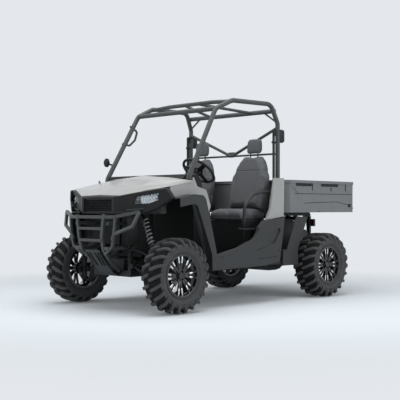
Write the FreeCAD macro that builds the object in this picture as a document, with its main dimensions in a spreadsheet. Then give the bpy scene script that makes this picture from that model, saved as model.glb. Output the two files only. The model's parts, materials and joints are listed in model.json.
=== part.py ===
"""Side by side utility vehicle: two seats, an open tube cage and a tipping cargo bed.

Millimetres. The front is -Y, the driver's side (vehicle left) is +X and +Z is up.
The pieces are drawn from the middle of the wheelbase, and each is then placed so that the origin lies on
the ground, under the middle of the overall box. Round forms are made in flat steps, apart from pins.
"""

import FreeCAD
import Part
import Sketcher
import math
import os
from FreeCAD import Rotation, Vector
from types import SimpleNamespace

# Driving dimensions, kept in the sheet
SIZES = {
    # Whole vehicle
    "front_overhang": 410,
    "wheelbase": 2100,
    "rear_overhang": 570,
    "overall_length": "=front_overhang + wheelbase + rear_overhang",
    "track": 1370,
    "fit_gap": 0.3,
    "running_gap": 6,
    # Tyres and rims
    "wheel_flats": 16,
    "tyre_radius": 330,
    "tyre_wall": 13,
    "lug_height": 14,
    "lug_length": 46,
    "front_tyre_width": 226,
    "rear_tyre_width": 260,
    "front_rim_width": 178,
    "rear_rim_width": 204,
    "flange_radius": 196,
    "seat_radius": 180,
    "rim_wall": 6,
    "disc_inset": 30,
    "disc_thick": 18,
    "spoke_count": 8,
    "hub_radius": 58,
    "hub_length": 60,
    "spindle_radius": 20,
    # Knuckles and arms
    "kingpin_inset": 88,
    "knuckle_radius": 25,
    "ball_spacing": 220,
    "arm_boss": 20,
    "arm_tube": 12,
    "arm_spread": 135,
    "pivot_low": 400,
    "pivot_high": 555,
    "steer_arm": 100,
    "tie_rod_radius": 9,
    "rack_height": 477,
    "rack_radius": 24,
    # Springs
    "shock_top_x": 310,
    "shock_top_z": 860,
    "shock_offset": 41,
    "spring_radius": 31,
    "spring_turns": 4,
    # Chassis
    "belly_height": 300,
    "skid_thick": 6,
    "rail_width": 40,
    "rail_height": 50,
    "rail_centre": 240,
    "sill_centre": 620,
    "tube_square": 30,
    "post_top": 900,
    "bed_rail_height": 40,
    # Cage
    "cage_radius": 23,
    "cage_bend": 90,
    "cage_foot_half": 600,
    "cage_front_half": 545,
    "cage_rear_half": 612,
    "cage_roof": 1948,
    "cage_header": "=cage_roof - 98",
    "header_y": "=650 - wheelbase / 2",
    "crown_y": "=862 - wheelbase / 2",
    "rear_post_y": "=wheelbase / 2 - 632",
    # Cab
    "floor_thick": 6,
    "firewall_y": "=385 - wheelbase / 2",
    "seat_front_y": "=wheelbase / 2 - 1110",
    "seat_base_rear_y": "=wheelbase / 2 - 670",
    "seat_base_top": 800,
    "seat_centre": 370,
    "seat_width": 430,
    "cushion_top": 905,
    "dash_bottom": 960,
    "wheel_hub_y": "=600 - wheelbase / 2",
    "wheel_hub_z": 1270,
    "wheel_tilt": 50,
    "wheel_radius": 158,
    "wheel_grip": 13,
    # Body panels
    "panel_thick": 5,
    "side_panel_half": 685,
    "flare_half": 760,
    "flare_depth": 132,
    "rocker_half": 730,
    "rocker_depth": 40,
    "quarter_half": 712,
    "quarter_depth": 30,
    "fender_half": 652,
    "fender_y": "=wheelbase / 2 - tyre_radius",
    # Nose
    "nose_reach": 320,
    "bar_deep": 26,
    "grille_half": 200,
    "grille_low": 880,
    "grille_high": 1000,
    "grille_columns": 7,
    "grille_bar": 9,
    # Cargo bed
    "bed_front_y": "=wheelbase / 2 - 585",
    "bed_half": 700,
    "bed_corner": 60,
    "bed_low": 872,
    "bed_top": 1200,
    "bed_wall": 25,
    "bed_floor": 22,
    "bed_pivot_inset": 210,
    "bed_pivot_z": 842,
    "bed_pin": 12,
    "tailgate_thick": 30,
}

doc = FreeCAD.newDocument("SideBySide")
sheet = doc.addObject("Spreadsheet::Sheet", "Sizes")
for row, (alias, amount) in enumerate(SIZES.items(), start=1):
    sheet.set(f"A{row}", alias)
    sheet.set(f"B{row}", str(amount))
    sheet.setAlias(f"B{row}", alias)
doc.recompute()
s = SimpleNamespace(**{alias: float(sheet.get(alias)) for alias in SIZES})

X = Vector(1, 0, 0)
Y = Vector(0, 1, 0)
Z = Vector(0, 0, 1)
FRONT = "-Sizes.wheelbase / 2"
REAR_END = "(Sizes.wheelbase / 2 + Sizes.rear_overhang)"
SHIFT = f"Sizes.overall_length / 2 - {REAR_END}"
front_axle_y = -s.wheelbase / 2
rear_axle_y = s.wheelbase / 2
rear_end_y = rear_axle_y + s.rear_overhang
nodes = []


def node(piece, label):
    """Registers a finished sub-part under its own label and puts it in the vehicle's frame."""
    piece.Label = label
    piece.setExpression("Placement.Base.y", SHIFT)
    nodes.append(piece)
    return piece


def solid(label, shape):
    """A sub-part whose shape comes from Part's own functions."""
    piece = doc.addObject("Part::Feature", label)
    piece.Shape = Part.makeCompound([shape])
    return node(piece, label)


def fused(shapes):
    """One solid from pieces that are welded together."""
    return shapes[0].multiFuse(shapes[1:]).removeSplitter()


def mirrored(shape):
    """The same piece on the other side of the vehicle."""
    return shape.mirror(Vector(0, 0, 0), X)


def both_sides(shape):
    return Part.makeCompound([shape, mirrored(shape)])


def moved(shape, offset):
    """A copy of a shape, shifted."""
    copy = shape.copy()
    copy.translate(offset)
    return copy


def box(low, high):
    return Part.makeBox(high[0] - low[0], high[1] - low[1], high[2] - low[2], Vector(*low))


def prism(corners, run):
    """A flat outline carried straight along a run."""
    points = [Vector(*corner) for corner in corners]
    return Part.Face(Part.makePolygon(points + points[:1])).extrude(Vector(*run))


def closed(faces):
    """A solid from flat faces that share their edges."""
    shape = Part.makeCompound([Part.Face(Part.makePolygon(face + face[:1])) for face in faces])
    shape.sewShape()
    made = Part.makeSolid(shape.Shells[0])
    return made if made.Volume > 0 else made.reversed()


def skin(rings, flat=False, loop=False):
    """A solid through successive rings of corners, with its sides as quads where they are flat."""
    pairs = list(zip(rings, rings[1:]))
    if loop:
        pairs.append((rings[-1], rings[0]))
    faces = []
    for near, far in pairs:
        for index, corner in enumerate(near):
            follower = (index + 1) % len(near)
            quad = [corner, near[follower], far[follower], far[index]]
            faces += [quad] if flat else [quad[:3], [quad[0], quad[2], quad[3]]]
    if not loop:
        faces += [rings[0], rings[-1]]
    return closed(faces)


def flats(radius, sides):
    """Corners of a regular outline whose flats lie at the radius, with one facing each way."""
    reach = radius / math.cos(math.pi / sides)
    turns = [2 * math.pi * (index + 0.5) / sides for index in range(sides)]
    return [(reach * math.cos(turn), reach * math.sin(turn)) for turn in turns]


def rod(start, end, radius, sides=8):
    """A straight bar between two points."""
    start, run = Vector(*start), Vector(*end) - Vector(*start)
    turn = Rotation(Z, run)
    corners = [start + turn.multVec(Vector(a, b, 0)) for a, b in flats(radius, sides)]
    return Part.Face(Part.makePolygon(corners + corners[:1])).extrude(run)


def pin(start, end, radius):
    """A true round bar between two points, for what turns."""
    run = Vector(*end) - Vector(*start)
    return Part.makeCylinder(radius, run.Length, Vector(*start), run)


def stack(start, end, profile, sides=8):
    """A bar of flat sides whose radius changes along it, at (distance, radius) steps."""
    start, along = Vector(*start), (Vector(*end) - Vector(*start)).normalize()
    turn = Rotation(Z, along)
    rings = []
    for distance, radius in profile:
        ring = [turn.multVec(Vector(a, b, 0)) for a, b in flats(radius, sides)]
        rings.append([start + along * distance + corner for corner in ring])
    return skin(rings, flat=True)


def bent_path(points, bend, steps):
    """The corners of a path with each bend cut into equal steps."""
    corners = [Vector(*point) for point in points]
    route = [corners[0]]
    for before, corner, after in zip(corners, corners[1:], corners[2:]):
        inward = (before - corner).normalize()
        outward = (after - corner).normalize()
        half = inward.getAngle(outward) / 2
        centre = corner + (inward + outward).normalize() * (bend / math.sin(half))
        first = corner + inward * (bend / math.tan(half)) - centre
        axis = first.cross(corner + outward * (bend / math.tan(half)) - centre)
        sweep = math.degrees(math.pi - 2 * half)
        for step in range(steps + 1):
            route.append(centre + Rotation(axis, sweep * step / steps).multVec(first))
    return route + [corners[-1]]


def swept(route, corners):
    """A bar of one section along a route, mitred at each corner. The section's first axis lies level."""
    run = route[1] - route[0]
    level = run.cross(Z if run.cross(Z).Length > run.Length / 2 else Y).normalize()
    upright = level.cross(run).normalize()
    ring = [route[0] + level * a + upright * b for a, b in corners]
    rings = [ring]
    for index in range(1, len(route)):
        run = (route[index] - route[index - 1]).normalize()
        after = run
        if index + 1 < len(route):
            after = (route[index + 1] - route[index]).normalize()
        normal = run + after
        ring = [point + run * ((route[index] - point).dot(normal) / run.dot(normal)) for point in ring]
        rings.append(ring)
    return skin(rings, flat=True)


def tube(points, radius, bend, sides=8, steps=2):
    """A bent tube through the corners of a path."""
    return swept(bent_path(points, bend, steps), flats(radius, sides))


def flat_bar(points, wide, deep):
    """A bar of rectangular section, mitred at the points."""
    corners = [(-wide / 2, -deep / 2), (wide / 2, -deep / 2), (wide / 2, deep / 2), (-wide / 2, deep / 2)]
    return swept([Vector(*point) for point in points], corners)


def turned(section, sides):
    """A section of (across, radius) corners turned round the X axis in flat steps, one at the bottom."""
    rings = []
    for index in range(sides):
        angle = 2 * math.pi * (index + 0.5) / sides - math.pi / 2
        reach = 1 / math.cos(math.pi / sides)
        out = Vector(0, math.cos(angle), math.sin(angle)) * reach
        rings.append([X * across + out * radius for across, radius in section])
    return skin(rings, flat=True, loop=True)


def amount(text):
    """The present value of an expression on the sheet."""
    return float(sheet.evalExpression(text))


def outline(body, name, plane, corners, offset=None):
    """A closed sketch whose corners are tied to the sheet.

    A corner is (across, up) or (across, up, radius): with a radius the edge that arrives there is an
    arc, turning left where the radius is positive and right where it is negative.
    """
    sketch = body.newObject("Sketcher::SketchObject", name)
    origin = [item for item in body.Origin.OriginFeatures if item.Role == plane][0]
    sketch.AttachmentSupport = [(origin, "")]
    sketch.MapMode = "FlatFace"
    if offset:
        sketch.setExpression("AttachmentOffset.Base.z", offset)
    points = [Vector(amount(corner[0]), amount(corner[1]), 0) for corner in corners]
    ends = []
    for index, corner in enumerate(corners):
        start, end = points[index - 1], points[index]
        if len(corner) == 2:
            sketch.addGeometry(Part.LineSegment(start, end), False)
            ends.append((1, 2))
            continue
        radius = amount(corner[2])
        chord = end - start
        left = Vector(-chord.y, chord.x, 0).normalize()
        rise = math.sqrt(radius**2 - (chord.Length / 2) ** 2)
        centre = (start + end) * 0.5 + left * math.copysign(rise, radius)
        first, last = (start, end) if radius > 0 else (end, start)
        angles = [math.atan2(point.y - centre.y, point.x - centre.x) for point in (first, last)]
        if angles[1] < angles[0]:
            angles[1] += 2 * math.pi
        circle = Part.Circle(centre, Z, abs(radius))
        sketch.addGeometry(Part.ArcOfCircle(circle, *angles), False)
        ends.append((1, 2) if radius > 0 else (2, 1))
    count = len(corners)
    for index in range(count):
        before = (index - 1) % count
        sketch.addConstraint(
            Sketcher.Constraint("Coincident", before, ends[before][1], index, ends[index][0])
        )
    for index, corner in enumerate(corners):
        point = points[index]
        for kind, text, value in (("DistanceX", corner[0], point.x), ("DistanceY", corner[1], point.y)):
            made = sketch.addConstraint(Sketcher.Constraint(kind, -1, 1, index, ends[index][1], value))
            sketch.setExpression(f"Constraints[{made}]", text)
        if len(corner) == 3:
            made = sketch.addConstraint(Sketcher.Constraint("Radius", index, abs(amount(corner[2]))))
            sketch.setExpression(f"Constraints[{made}]", f"abs({corner[2]})")
    return sketch


def pad(body, sketch, name, length):
    feature = body.newObject("PartDesign::Pad", name)
    feature.Profile = sketch
    feature.setExpression("Length", length)
    return feature


def pocket(body, sketch, name, length):
    """Cuts along the sketch's own normal."""
    feature = body.newObject("PartDesign::Pocket", name)
    feature.Profile = sketch
    feature.Reversed = True
    feature.setExpression("Length", length)
    return feature


def side_body(name, corners, inner, depth):
    """A slab cut to a side outline, from the inner face outwards."""
    body = doc.addObject("PartDesign::Body", name)
    pad(body, outline(body, f"{name}_outline", "YZ_Plane", corners, inner), f"{name}_slab", depth)
    doc.recompute()
    return body


def shelled(body, wall, shift):
    """What is left of a slab when a copy of it, shifted inwards, is cut away: a thin panel with a lip."""
    return body.Shape.cut(moved(body.Shape, Vector(-wall, shift[0], shift[1])))


# Tyres: a hollow carcass with slanted lugs on each flat
wheel_flats = int(s.wheel_flats)
tread_base = s.tyre_radius - s.lug_height


def lug(half, side):
    """One lug in the bottom flat's own frame: across, along and out from the axle."""
    slant = 26
    inner_y = -s.lug_length / 2 + 4
    profile = [
        (5, tread_base - 5),
        (5, s.tyre_radius),
        (half - 22, s.tyre_radius),
        (half - 3, tread_base - 54),
        (half - 26, tread_base - 6),
    ]
    corners = [(side * x, side * (inner_y - slant * x / half), r) for x, r in profile]
    return prism(corners, (0, side * s.lug_length, 0))


def tyre(width, rim_width):
    """The carcass seats between the rim's flanges and its lugs lean opposite ways on the two halves."""
    half = width / 2
    bead = rim_width / 2 - s.rim_wall - s.fit_gap
    seat = s.seat_radius + s.fit_gap
    left = [
        (half - 26, tread_base),
        (half, tread_base - 58),
        (bead, s.flange_radius + 4),
        (bead, seat),
        (bead - 22, seat),
        (half - 17 - s.tyre_wall, tread_base - 11 - s.tyre_wall),
    ]
    carcass = turned(left + [(-across, radius) for across, radius in reversed(left)], wheel_flats)
    lugs = []
    for index in range(wheel_flats):
        for side in (-1, 1):
            piece = lug(half, side)
            piece.rotate(Vector(0, 0, 0), X, 360 * index / wheel_flats)
            lugs.append(piece)
    return carcass.multiFuse(lugs)


# Rims: a drop-centre barrel, a hub and split spokes
def rim(width):
    half = width / 2
    face = half - s.disc_inset
    back = face - s.disc_thick
    inside = s.seat_radius - s.rim_wall
    section = [
        (half, s.flange_radius),
        (half - s.rim_wall, s.seat_radius),
        (s.rim_wall - half, s.seat_radius),
        (-half, s.flange_radius),
        (-half, inside),
        (half, inside),
    ]
    pieces = [turned(section, wheel_flats)]
    pieces.append(rod((back - s.hub_length, 0, 0), (face - 4, 0, 0), s.hub_radius))
    end = inside + 3
    spoke = [(50, -15), (end, -34), (end, -14), (92, 0), (end, 14), (end, 34), (50, 15)]
    for index in range(int(s.spoke_count)):
        piece = prism([(back, across, out) for out, across in spoke], (s.disc_thick, 0, 0))
        piece.rotate(Vector(0, 0, 0), X, 360 * index / s.spoke_count)
        pieces.append(piece)
    bore_start = back - s.hub_length - 1
    bore = rod((bore_start, 0, 0), (back, 0, 0), s.spindle_radius + s.fit_gap)
    return fused(pieces).cut(bore)


for end, axle_y in (("front", front_axle_y), ("rear", rear_axle_y)):
    width, rim_width = (getattr(s, f"{end}_{name}_width") for name in ("tyre", "rim"))
    centre = Vector(s.track / 2, axle_y, s.tyre_radius)
    for label, shape in (("tyre", tyre(width, rim_width)), ("rim", rim(rim_width))):
        left = moved(shape, centre)
        solid(f"{label}_{end}_left", left)
        solid(f"{label}_{end}_right", mirrored(left))


# Knuckles: an upright between the two ball joints, with the spindle that carries the hub
kingpin_x = s.track / 2 - s.kingpin_inset
low_ball = s.tyre_radius - s.ball_spacing / 2
high_ball = s.tyre_radius + s.ball_spacing / 2
ball_height = 26
steer_arm_z = s.tyre_radius + 48
steer_arm_deep = 16
rack_y = front_axle_y + s.steer_arm


def upright(axle_y, rim_width):
    hub_back = s.track / 2 + rim_width / 2 - s.disc_inset - s.disc_thick
    collar = hub_back - s.hub_length - s.running_gap
    low = low_ball + ball_height / 2 + s.fit_gap
    high = high_ball - ball_height / 2 - s.fit_gap
    middle = (kingpin_x, axle_y, s.tyre_radius)
    pieces = [
        rod((kingpin_x, axle_y, low), (kingpin_x, axle_y, high), s.knuckle_radius),
        pin(middle, (hub_back - s.fit_gap, axle_y, s.tyre_radius), s.spindle_radius),
        rod(middle, (collar, axle_y, s.tyre_radius), s.hub_radius - 14),
    ]
    return pieces


def front_knuckle():
    """The front upright has a steering arm that points to the rear."""
    low, high = steer_arm_z - steer_arm_deep / 2, steer_arm_z + steer_arm_deep / 2
    plan = [(-20, front_axle_y), (20, front_axle_y), (14, rack_y + 16), (-14, rack_y + 16)]
    arm = prism([(kingpin_x + x, y, low) for x, y in plan], (0, 0, high - low))
    return fused(upright(front_axle_y, s.front_rim_width) + [arm])


knuckle = front_knuckle()
solid("knuckle_front_left", knuckle)
solid("knuckle_front_right", mirrored(knuckle))
solid("knuckles_rear", both_sides(fused(upright(rear_axle_y, s.rear_rim_width))))

# Suspension arms: two tubes that meet in a fork at the ball joint
rail_outer = s.rail_centre + s.rail_width / 2
pivot_x = rail_outer + s.arm_boss + s.fit_gap
fork_x = kingpin_x - 75
fork_deep = 11
foot_x = pivot_x + 0.52 * (kingpin_x - pivot_x)
foot_plate_top = s.pivot_high + (high_ball - s.pivot_high) * 0.52 + 24
shock_eye = 16
foot_z = foot_plate_top + shock_eye / math.cos(math.pi / 6)


def wishbone(axle_y, pivot_z, ball_z, carries_shock):
    low, high = ball_z - ball_height / 2, ball_z + ball_height / 2
    pieces = [rod((kingpin_x, axle_y, low), (kingpin_x, axle_y, high), s.arm_boss, 6)]
    fork_low = ball_z - fork_deep
    pieces.append(
        box((fork_x - 12, axle_y - 16, fork_low), (kingpin_x, axle_y + 16, fork_low + 2 * fork_deep))
    )
    for side in (-1, 1):
        y = axle_y + side * s.arm_spread
        pieces.append(rod((pivot_x, y - 28, pivot_z), (pivot_x, y + 28, pivot_z), s.arm_boss, 4))
        pieces.append(rod((pivot_x, y, pivot_z), (fork_x, axle_y, ball_z), s.arm_tube, 6))
    if carries_shock:
        pieces.append(
            box(
                (foot_x - 18, axle_y - 70, foot_plate_top - 34),
                (foot_x + 18, axle_y + 70, foot_plate_top - s.fit_gap),
            )
        )
    return fused(pieces)


arms = []
for axle_y in (front_axle_y, rear_axle_y):
    arms.append(wishbone(axle_y, s.pivot_low, low_ball, False))
    arms.append(wishbone(axle_y, s.pivot_high, high_ball, True))
solid("suspension_arms", Part.makeCompound(arms + [mirrored(arm) for arm in arms]))


# Springs and dampers: the coils stand out from the sleeve as flat-sided rings
def coil_over(axle_y, top_z):
    y = axle_y - s.shock_offset
    top, bottom = Vector(s.shock_top_x, y, top_z), Vector(foot_x, y, foot_z)
    length = (bottom - top).Length
    start, end = 40, length - 52
    collar, core = s.spring_radius + 3, s.spring_radius - 9
    profile = [(13, collar), (start, collar), (start + 6, core)]
    pitch = (end - start - 12) / s.spring_turns
    for turn in range(int(s.spring_turns)):
        middle = start + 6 + (turn + 0.5) * pitch
        profile += [(middle, s.spring_radius), (middle + pitch / 2, core)]
    profile += [(end, collar), (end + 10, collar), (end + 10, 12), (length - 8, 12)]
    pieces = [stack(tuple(top), tuple(bottom), profile, 6)]
    for eye in (top, bottom):
        pieces.append(rod(tuple(eye - Y * 15), tuple(eye + Y * 15), shock_eye, 6))
    return fused(pieces)


rear_shock_top_z = s.shock_top_z - 45
shocks = [coil_over(front_axle_y, s.shock_top_z), coil_over(rear_axle_y, rear_shock_top_z)]
solid("coil_overs", Part.makeCompound(shocks + [mirrored(shock) for shock in shocks]))

# Drive shafts from the gearcases to the knuckles
gear_half = 95
gear_top = 450
shaft_z = 405
post_back = kingpin_x - s.knuckle_radius / math.cos(math.pi / 8) - s.fit_gap
shafts = []
for axle_y in (front_axle_y, rear_axle_y):
    inner = Vector(gear_half + s.fit_gap, axle_y, shaft_z)
    outer = Vector(post_back, axle_y, s.tyre_radius)
    boot = rod(tuple(inner), tuple(inner + X * 70), 32)
    joint = rod(tuple(outer - X * 60), tuple(outer), 26)
    shafts.append(fused([boot, rod(tuple(inner + X * 50), tuple(outer - X * 40), 13, 6), joint]))
solid("drive_shafts", Part.makeCompound(shafts + [mirrored(shaft) for shaft in shafts]))

# Steering gear
tie_eye_low = steer_arm_z + steer_arm_deep / 2 + 1
housing_half = 150
bar_end = housing_half + 80
eye_z = tie_eye_low + s.tie_rod_radius
bar_line = [(0, rack_y, s.rack_height), (bar_end, rack_y, s.rack_height), (kingpin_x, rack_y, eye_z)]
bar = swept([Vector(*point) for point in bar_line], flats(s.tie_rod_radius, 6))
eye = rod((kingpin_x, rack_y, tie_eye_low), (kingpin_x, rack_y, tie_eye_low + 2 * s.tie_rod_radius), 14)
tie = fused([bar, eye])
solid("tie_rods", fused([tie, mirrored(tie)]))

hub = Vector(s.seat_centre, s.wheel_hub_y, s.wheel_hub_z)
tilt = math.radians(s.wheel_tilt)
column_axis = Vector(0, math.cos(tilt), math.sin(tilt))
hub_deep = 36
column_top = hub - column_axis * (hub_deep + s.fit_gap)
column_foot = hub - column_axis * 285
column_radius = 24
rack_line = [Vector(side * housing_half, rack_y, s.rack_height) for side in (-1, 1)]
rack_space = swept(rack_line, flats(s.tie_rod_radius + s.fit_gap, 6))
rack_housing = swept(rack_line, flats(s.rack_radius, 6)).cut(rack_space)
column = pin(tuple(column_foot), tuple(column_top), column_radius)
solid("steering_gear", Part.makeCompound([rack_housing, column]))

# Steering wheel: a grip, three spokes and a hub
grip_steps = 16
grip_rings = []
for index in range(grip_steps):
    angle = 2 * math.pi * index / grip_steps
    out = Vector(math.cos(angle), math.sin(angle), 0)
    section = [out * (s.wheel_radius + a) + Z * b for a, b in flats(s.wheel_grip, 6)]
    grip_rings.append(section)
wheel_pieces = [skin(grip_rings, flat=True, loop=True), rod((0, 0, -hub_deep), (0, 0, 10), 46)]
for angle in (-150, -30, 90):
    reach = s.wheel_radius - 4
    spoke = prism([(30, -24, -12), (30, 24, -12), (reach, 13, -6), (reach, -13, -6)], (0, 0, 11))
    spoke.rotate(Vector(0, 0, 0), Z, angle)
    wheel_pieces.append(spoke)
steering_wheel = fused(wheel_pieces)
steering_wheel.Placement = FreeCAD.Placement(hub, Rotation(X, column_axis.cross(X), column_axis, "ZXY"))
solid("steering_wheel", steering_wheel)

# Chassis: two lower rails, cross members, sills, posts and the bed's rails
rail_low = s.belly_height + s.skid_thick
rail_top = rail_low + s.rail_height
sill_top = rail_top + s.tube_square
half_square = s.tube_square / 2
frame_front = front_axle_y - 150
bed_pivot_y = rear_end_y - s.bed_pivot_inset
frame_rear = bed_pivot_y + 30
bed_rail_top = s.bed_low - s.fit_gap
bed_rail_low = bed_rail_top - s.bed_rail_height
sill_front = s.firewall_y + 55
pin_start = 170
lug_centre = 197
rail_edges = (s.rail_centre - s.rail_width / 2, s.rail_centre + s.rail_width / 2)
front_posts = (front_axle_y - s.arm_spread, front_axle_y + s.arm_spread)
rear_posts = (rear_axle_y - s.arm_spread, rear_axle_y + s.arm_spread)
sill_half = s.rail_width / 2
flare_skin = s.flare_half - s.panel_thick - s.fit_gap
rocker_skin = s.rocker_half - s.panel_thick - s.fit_gap
quarter_skin = s.quarter_half - s.panel_thick - s.fit_gap
tab_stations = (sill_front + 130, s.seat_front_y - 100, s.seat_front_y + 180)


def over_rail(y, low, high):
    """A post over the left rail."""
    return box((rail_edges[0], y - half_square, low), (rail_edges[1], y + half_square, high))


def cross(y, half, low, high):
    """A member from side to side."""
    return box((-half, y - half_square, low), (half, y + half_square, high))


flare_lip_z = 1005
left = [
    box((rail_edges[0], frame_front, rail_low), (rail_edges[1], frame_rear, rail_top)),
    box(
        (s.sill_centre - sill_half, sill_front, rail_top),
        (s.sill_centre + sill_half, s.rear_post_y + s.cage_radius + 12, sill_top),
    ),
    box((rail_edges[0], s.bed_front_y + 40, bed_rail_low), (rail_edges[1], bed_pivot_y, bed_rail_top)),
    over_rail(front_posts[0], rail_low, s.post_top),
    over_rail(front_posts[1], rail_low, flare_lip_z),
    box(
        (rail_edges[0], front_posts[0], s.post_top - s.tube_square),
        (rail_edges[1], front_posts[1], s.post_top),
    ),
    box(
        (rail_edges[0], front_posts[1] - half_square, flare_lip_z - s.tube_square),
        (flare_skin, front_posts[1] + half_square, flare_lip_z),
    ),
    over_rail(rear_posts[0], rail_low, bed_rail_top),
    over_rail(rear_posts[1], rail_low, bed_rail_top),
    over_rail(frame_rear - half_square, rail_low, s.bed_pivot_z - 15),
    rod((rail_edges[0], bed_pivot_y, s.bed_pivot_z), (rail_edges[1], bed_pivot_y, s.bed_pivot_z), 22),
    pin((pin_start, bed_pivot_y, s.bed_pivot_z), (rail_edges[1], bed_pivot_y, s.bed_pivot_z), s.bed_pin),
]
for axle_y, top_z in ((front_axle_y, s.shock_top_z), (rear_axle_y, rear_shock_top_z)):
    y = axle_y - s.shock_offset
    left.append(
        box(
            (rail_edges[1] - 5, y - 12, top_z - 12),
            (s.shock_top_x - shock_eye - s.fit_gap, y + 12, top_z + 24),
        )
    )
for y in tab_stations:
    left.append(box((s.sill_centre, y - half_square, rail_top), (rocker_skin, y + half_square, sill_top)))
members = left + [mirrored(piece) for piece in left]
for y in (sill_front + half_square, s.seat_front_y - 90, s.seat_front_y + 320, s.rear_post_y):
    members.append(cross(y, s.sill_centre, rail_top, sill_top))
for y in (front_posts[0], rear_posts[1]):
    members.append(cross(y, s.rail_centre, rail_low, rail_top))
for y in front_posts:
    members.append(cross(y, s.rail_centre, s.post_top - s.tube_square, s.post_top))
for y in (s.bed_front_y + 60, rear_posts[1]):
    members.append(cross(y, s.rail_centre, bed_rail_low, bed_rail_top))
members.append(cross(frame_rear - half_square, s.rail_centre, s.bed_pivot_z - 77, s.bed_pivot_z - 47))
members.append(cross(s.fender_y, s.fender_half - s.fit_gap, bed_rail_low - 26, bed_rail_low))
rack_base = s.rack_height - s.rack_radius / math.cos(math.pi / 6) - s.fit_gap
members.append(
    box(
        (-s.rail_centre, rack_y - 15, rack_base - 26),
        (s.rail_centre, front_posts[1], rack_base),
    )
)
solid("chassis_frame", fused(members))

# Cage
hoop_points = [
    (s.sill_centre, sill_front + 50, sill_top),
    (s.cage_foot_half, sill_front - 45, 720),
    (s.cage_foot_half - 25, sill_front - 178, 1190),
    (s.cage_front_half, s.header_y, s.cage_header),
    (s.cage_front_half + 15, s.crown_y, s.cage_roof - 4),
    (s.cage_front_half + 50, s.rear_post_y - 74, s.cage_roof),
    (s.cage_rear_half, s.rear_post_y + 12, s.cage_roof - 188),
    (s.sill_centre, s.rear_post_y, sill_top),
]
below = [(s.sill_centre + 4, sill_front + 70, sill_top - 70)] + hoop_points[1:-1]
below.append((s.sill_centre, s.rear_post_y, sill_top - 70))
below_foot = box((500, sill_front - 200, 100), (720, s.rear_post_y + 100, sill_top + s.fit_gap))
hoop = tube(below, s.cage_radius, s.cage_bend).cut(below_foot)
tab_front, tab_back = s.rear_post_y - 38, s.rear_post_y - 14
cage_tabs = [
    box((s.sill_centre, tab_front, z - 12), (quarter_skin, tab_back, z + 12)) for z in (1000, 1150)
]
cage_side = fused([hoop] + cage_tabs)
solid("cage_left", cage_side)
solid("cage_right", mirrored(cage_side))
clear_hoop = tube(below, s.cage_radius + s.fit_gap, s.cage_bend)
cage_cut = Part.makeCompound([clear_hoop, mirrored(clear_hoop)])



def bar_across(half, y, z, radius, sides=8):
    """A level tube from side to side."""
    return rod((-half, y, z), (half, y, z), radius, sides)


brace_radius = 15
bar_z = s.cage_roof - 490
brace_top_z = s.cage_roof - 233
rear_cross_z = s.cage_roof - 62
rear_cross_y = s.rear_post_y - 10
front_header = bar_across(s.cage_front_half, s.header_y, s.cage_header, s.cage_radius)
bow = [(-s.cage_front_half - 15, s.crown_y, s.cage_roof - 14), (-300, s.crown_y, s.cage_roof)]
bow += [(-x, y, z) for x, y, z in reversed(bow)]
roof = [tube(bow, s.cage_radius - 3, 400, steps=1)]
roof.append(bar_across(s.cage_rear_half - 8, rear_cross_y, rear_cross_z, s.cage_radius))
back = [bar_across(s.cage_rear_half, s.rear_post_y, bar_z, 10, 6)]
for side in (-1, 1):
    cross_end = (side * 290, rear_cross_y, rear_cross_z)
    roof.append(rod((side * 90, s.crown_y, s.cage_roof), cross_end, brace_radius, 6))
    gusset_foot = (side * s.cage_rear_half, s.rear_post_y, s.cage_roof - 178)
    roof.append(rod((side * 440, rear_cross_y, rear_cross_z), gusset_foot, 9, 6))
    brace_top = (side * s.cage_rear_half, s.rear_post_y, brace_top_z)
    back.append(rod(brace_top, (side * 6, s.rear_post_y, bar_z), brace_radius, 6))
headers = fused(roof).cut(cage_cut)
back_frame = fused(back).cut(cage_cut)
solid("cage_cross", Part.makeCompound([front_header.cut(cage_cut), headers, back_frame]))

# Bumper: flat bars, with a heavy pair of verticals that close in towards the belly
bar_y = front_axle_y - s.front_overhang + s.bar_deep / 2


def nose(x, reach, z):
    """A point ahead of the front axle."""
    return x, front_axle_y - reach, z


main_points = [nose(190, 0, 860), nose(162, 0, 665), nose(155, 372, 550), nose(128, 290, 457)]
main_points = [(x, bar_y, z) for x, y, z in main_points[:2]] + main_points[2:]
main_points += [nose(118, 190, 372), nose(117, 162, 352)]
loop_points = [nose(515, 272, 885), nose(300, 380, 838), (180, bar_y, 838)]
bars = [flat_bar(loop_points + [(-x, y, z) for x, y, z in reversed(loop_points)], s.bar_deep, 28)]
for z, half in ((735, 172), (631, 160)):
    bars.append(flat_bar([(-half, bar_y, z), (half, bar_y, z)], s.bar_deep, 24))
half_bars = [
    flat_bar(main_points, 30, s.bar_deep),
    flat_bar([nose(515, 272, 885), nose(475, 315, 757), nose(305, 378, 690), nose(276, 376, 640)], 24, 24),
    flat_bar([nose(318, 376, 832), nose(303, 378, 692), nose(275, 372, 578), nose(158, 362, 505)], 22, 22),
]
bracket_back = frame_front - s.fit_gap
for z, x in ((780, 168), (560, 146)):
    half_bars.append(box((x, front_axle_y - 385, z - 14), (rail_edges[0] + 14, bracket_back, z + 14)))
solid("front_bumper", fused(bars + half_bars + [mirrored(bar) for bar in half_bars]))

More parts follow.
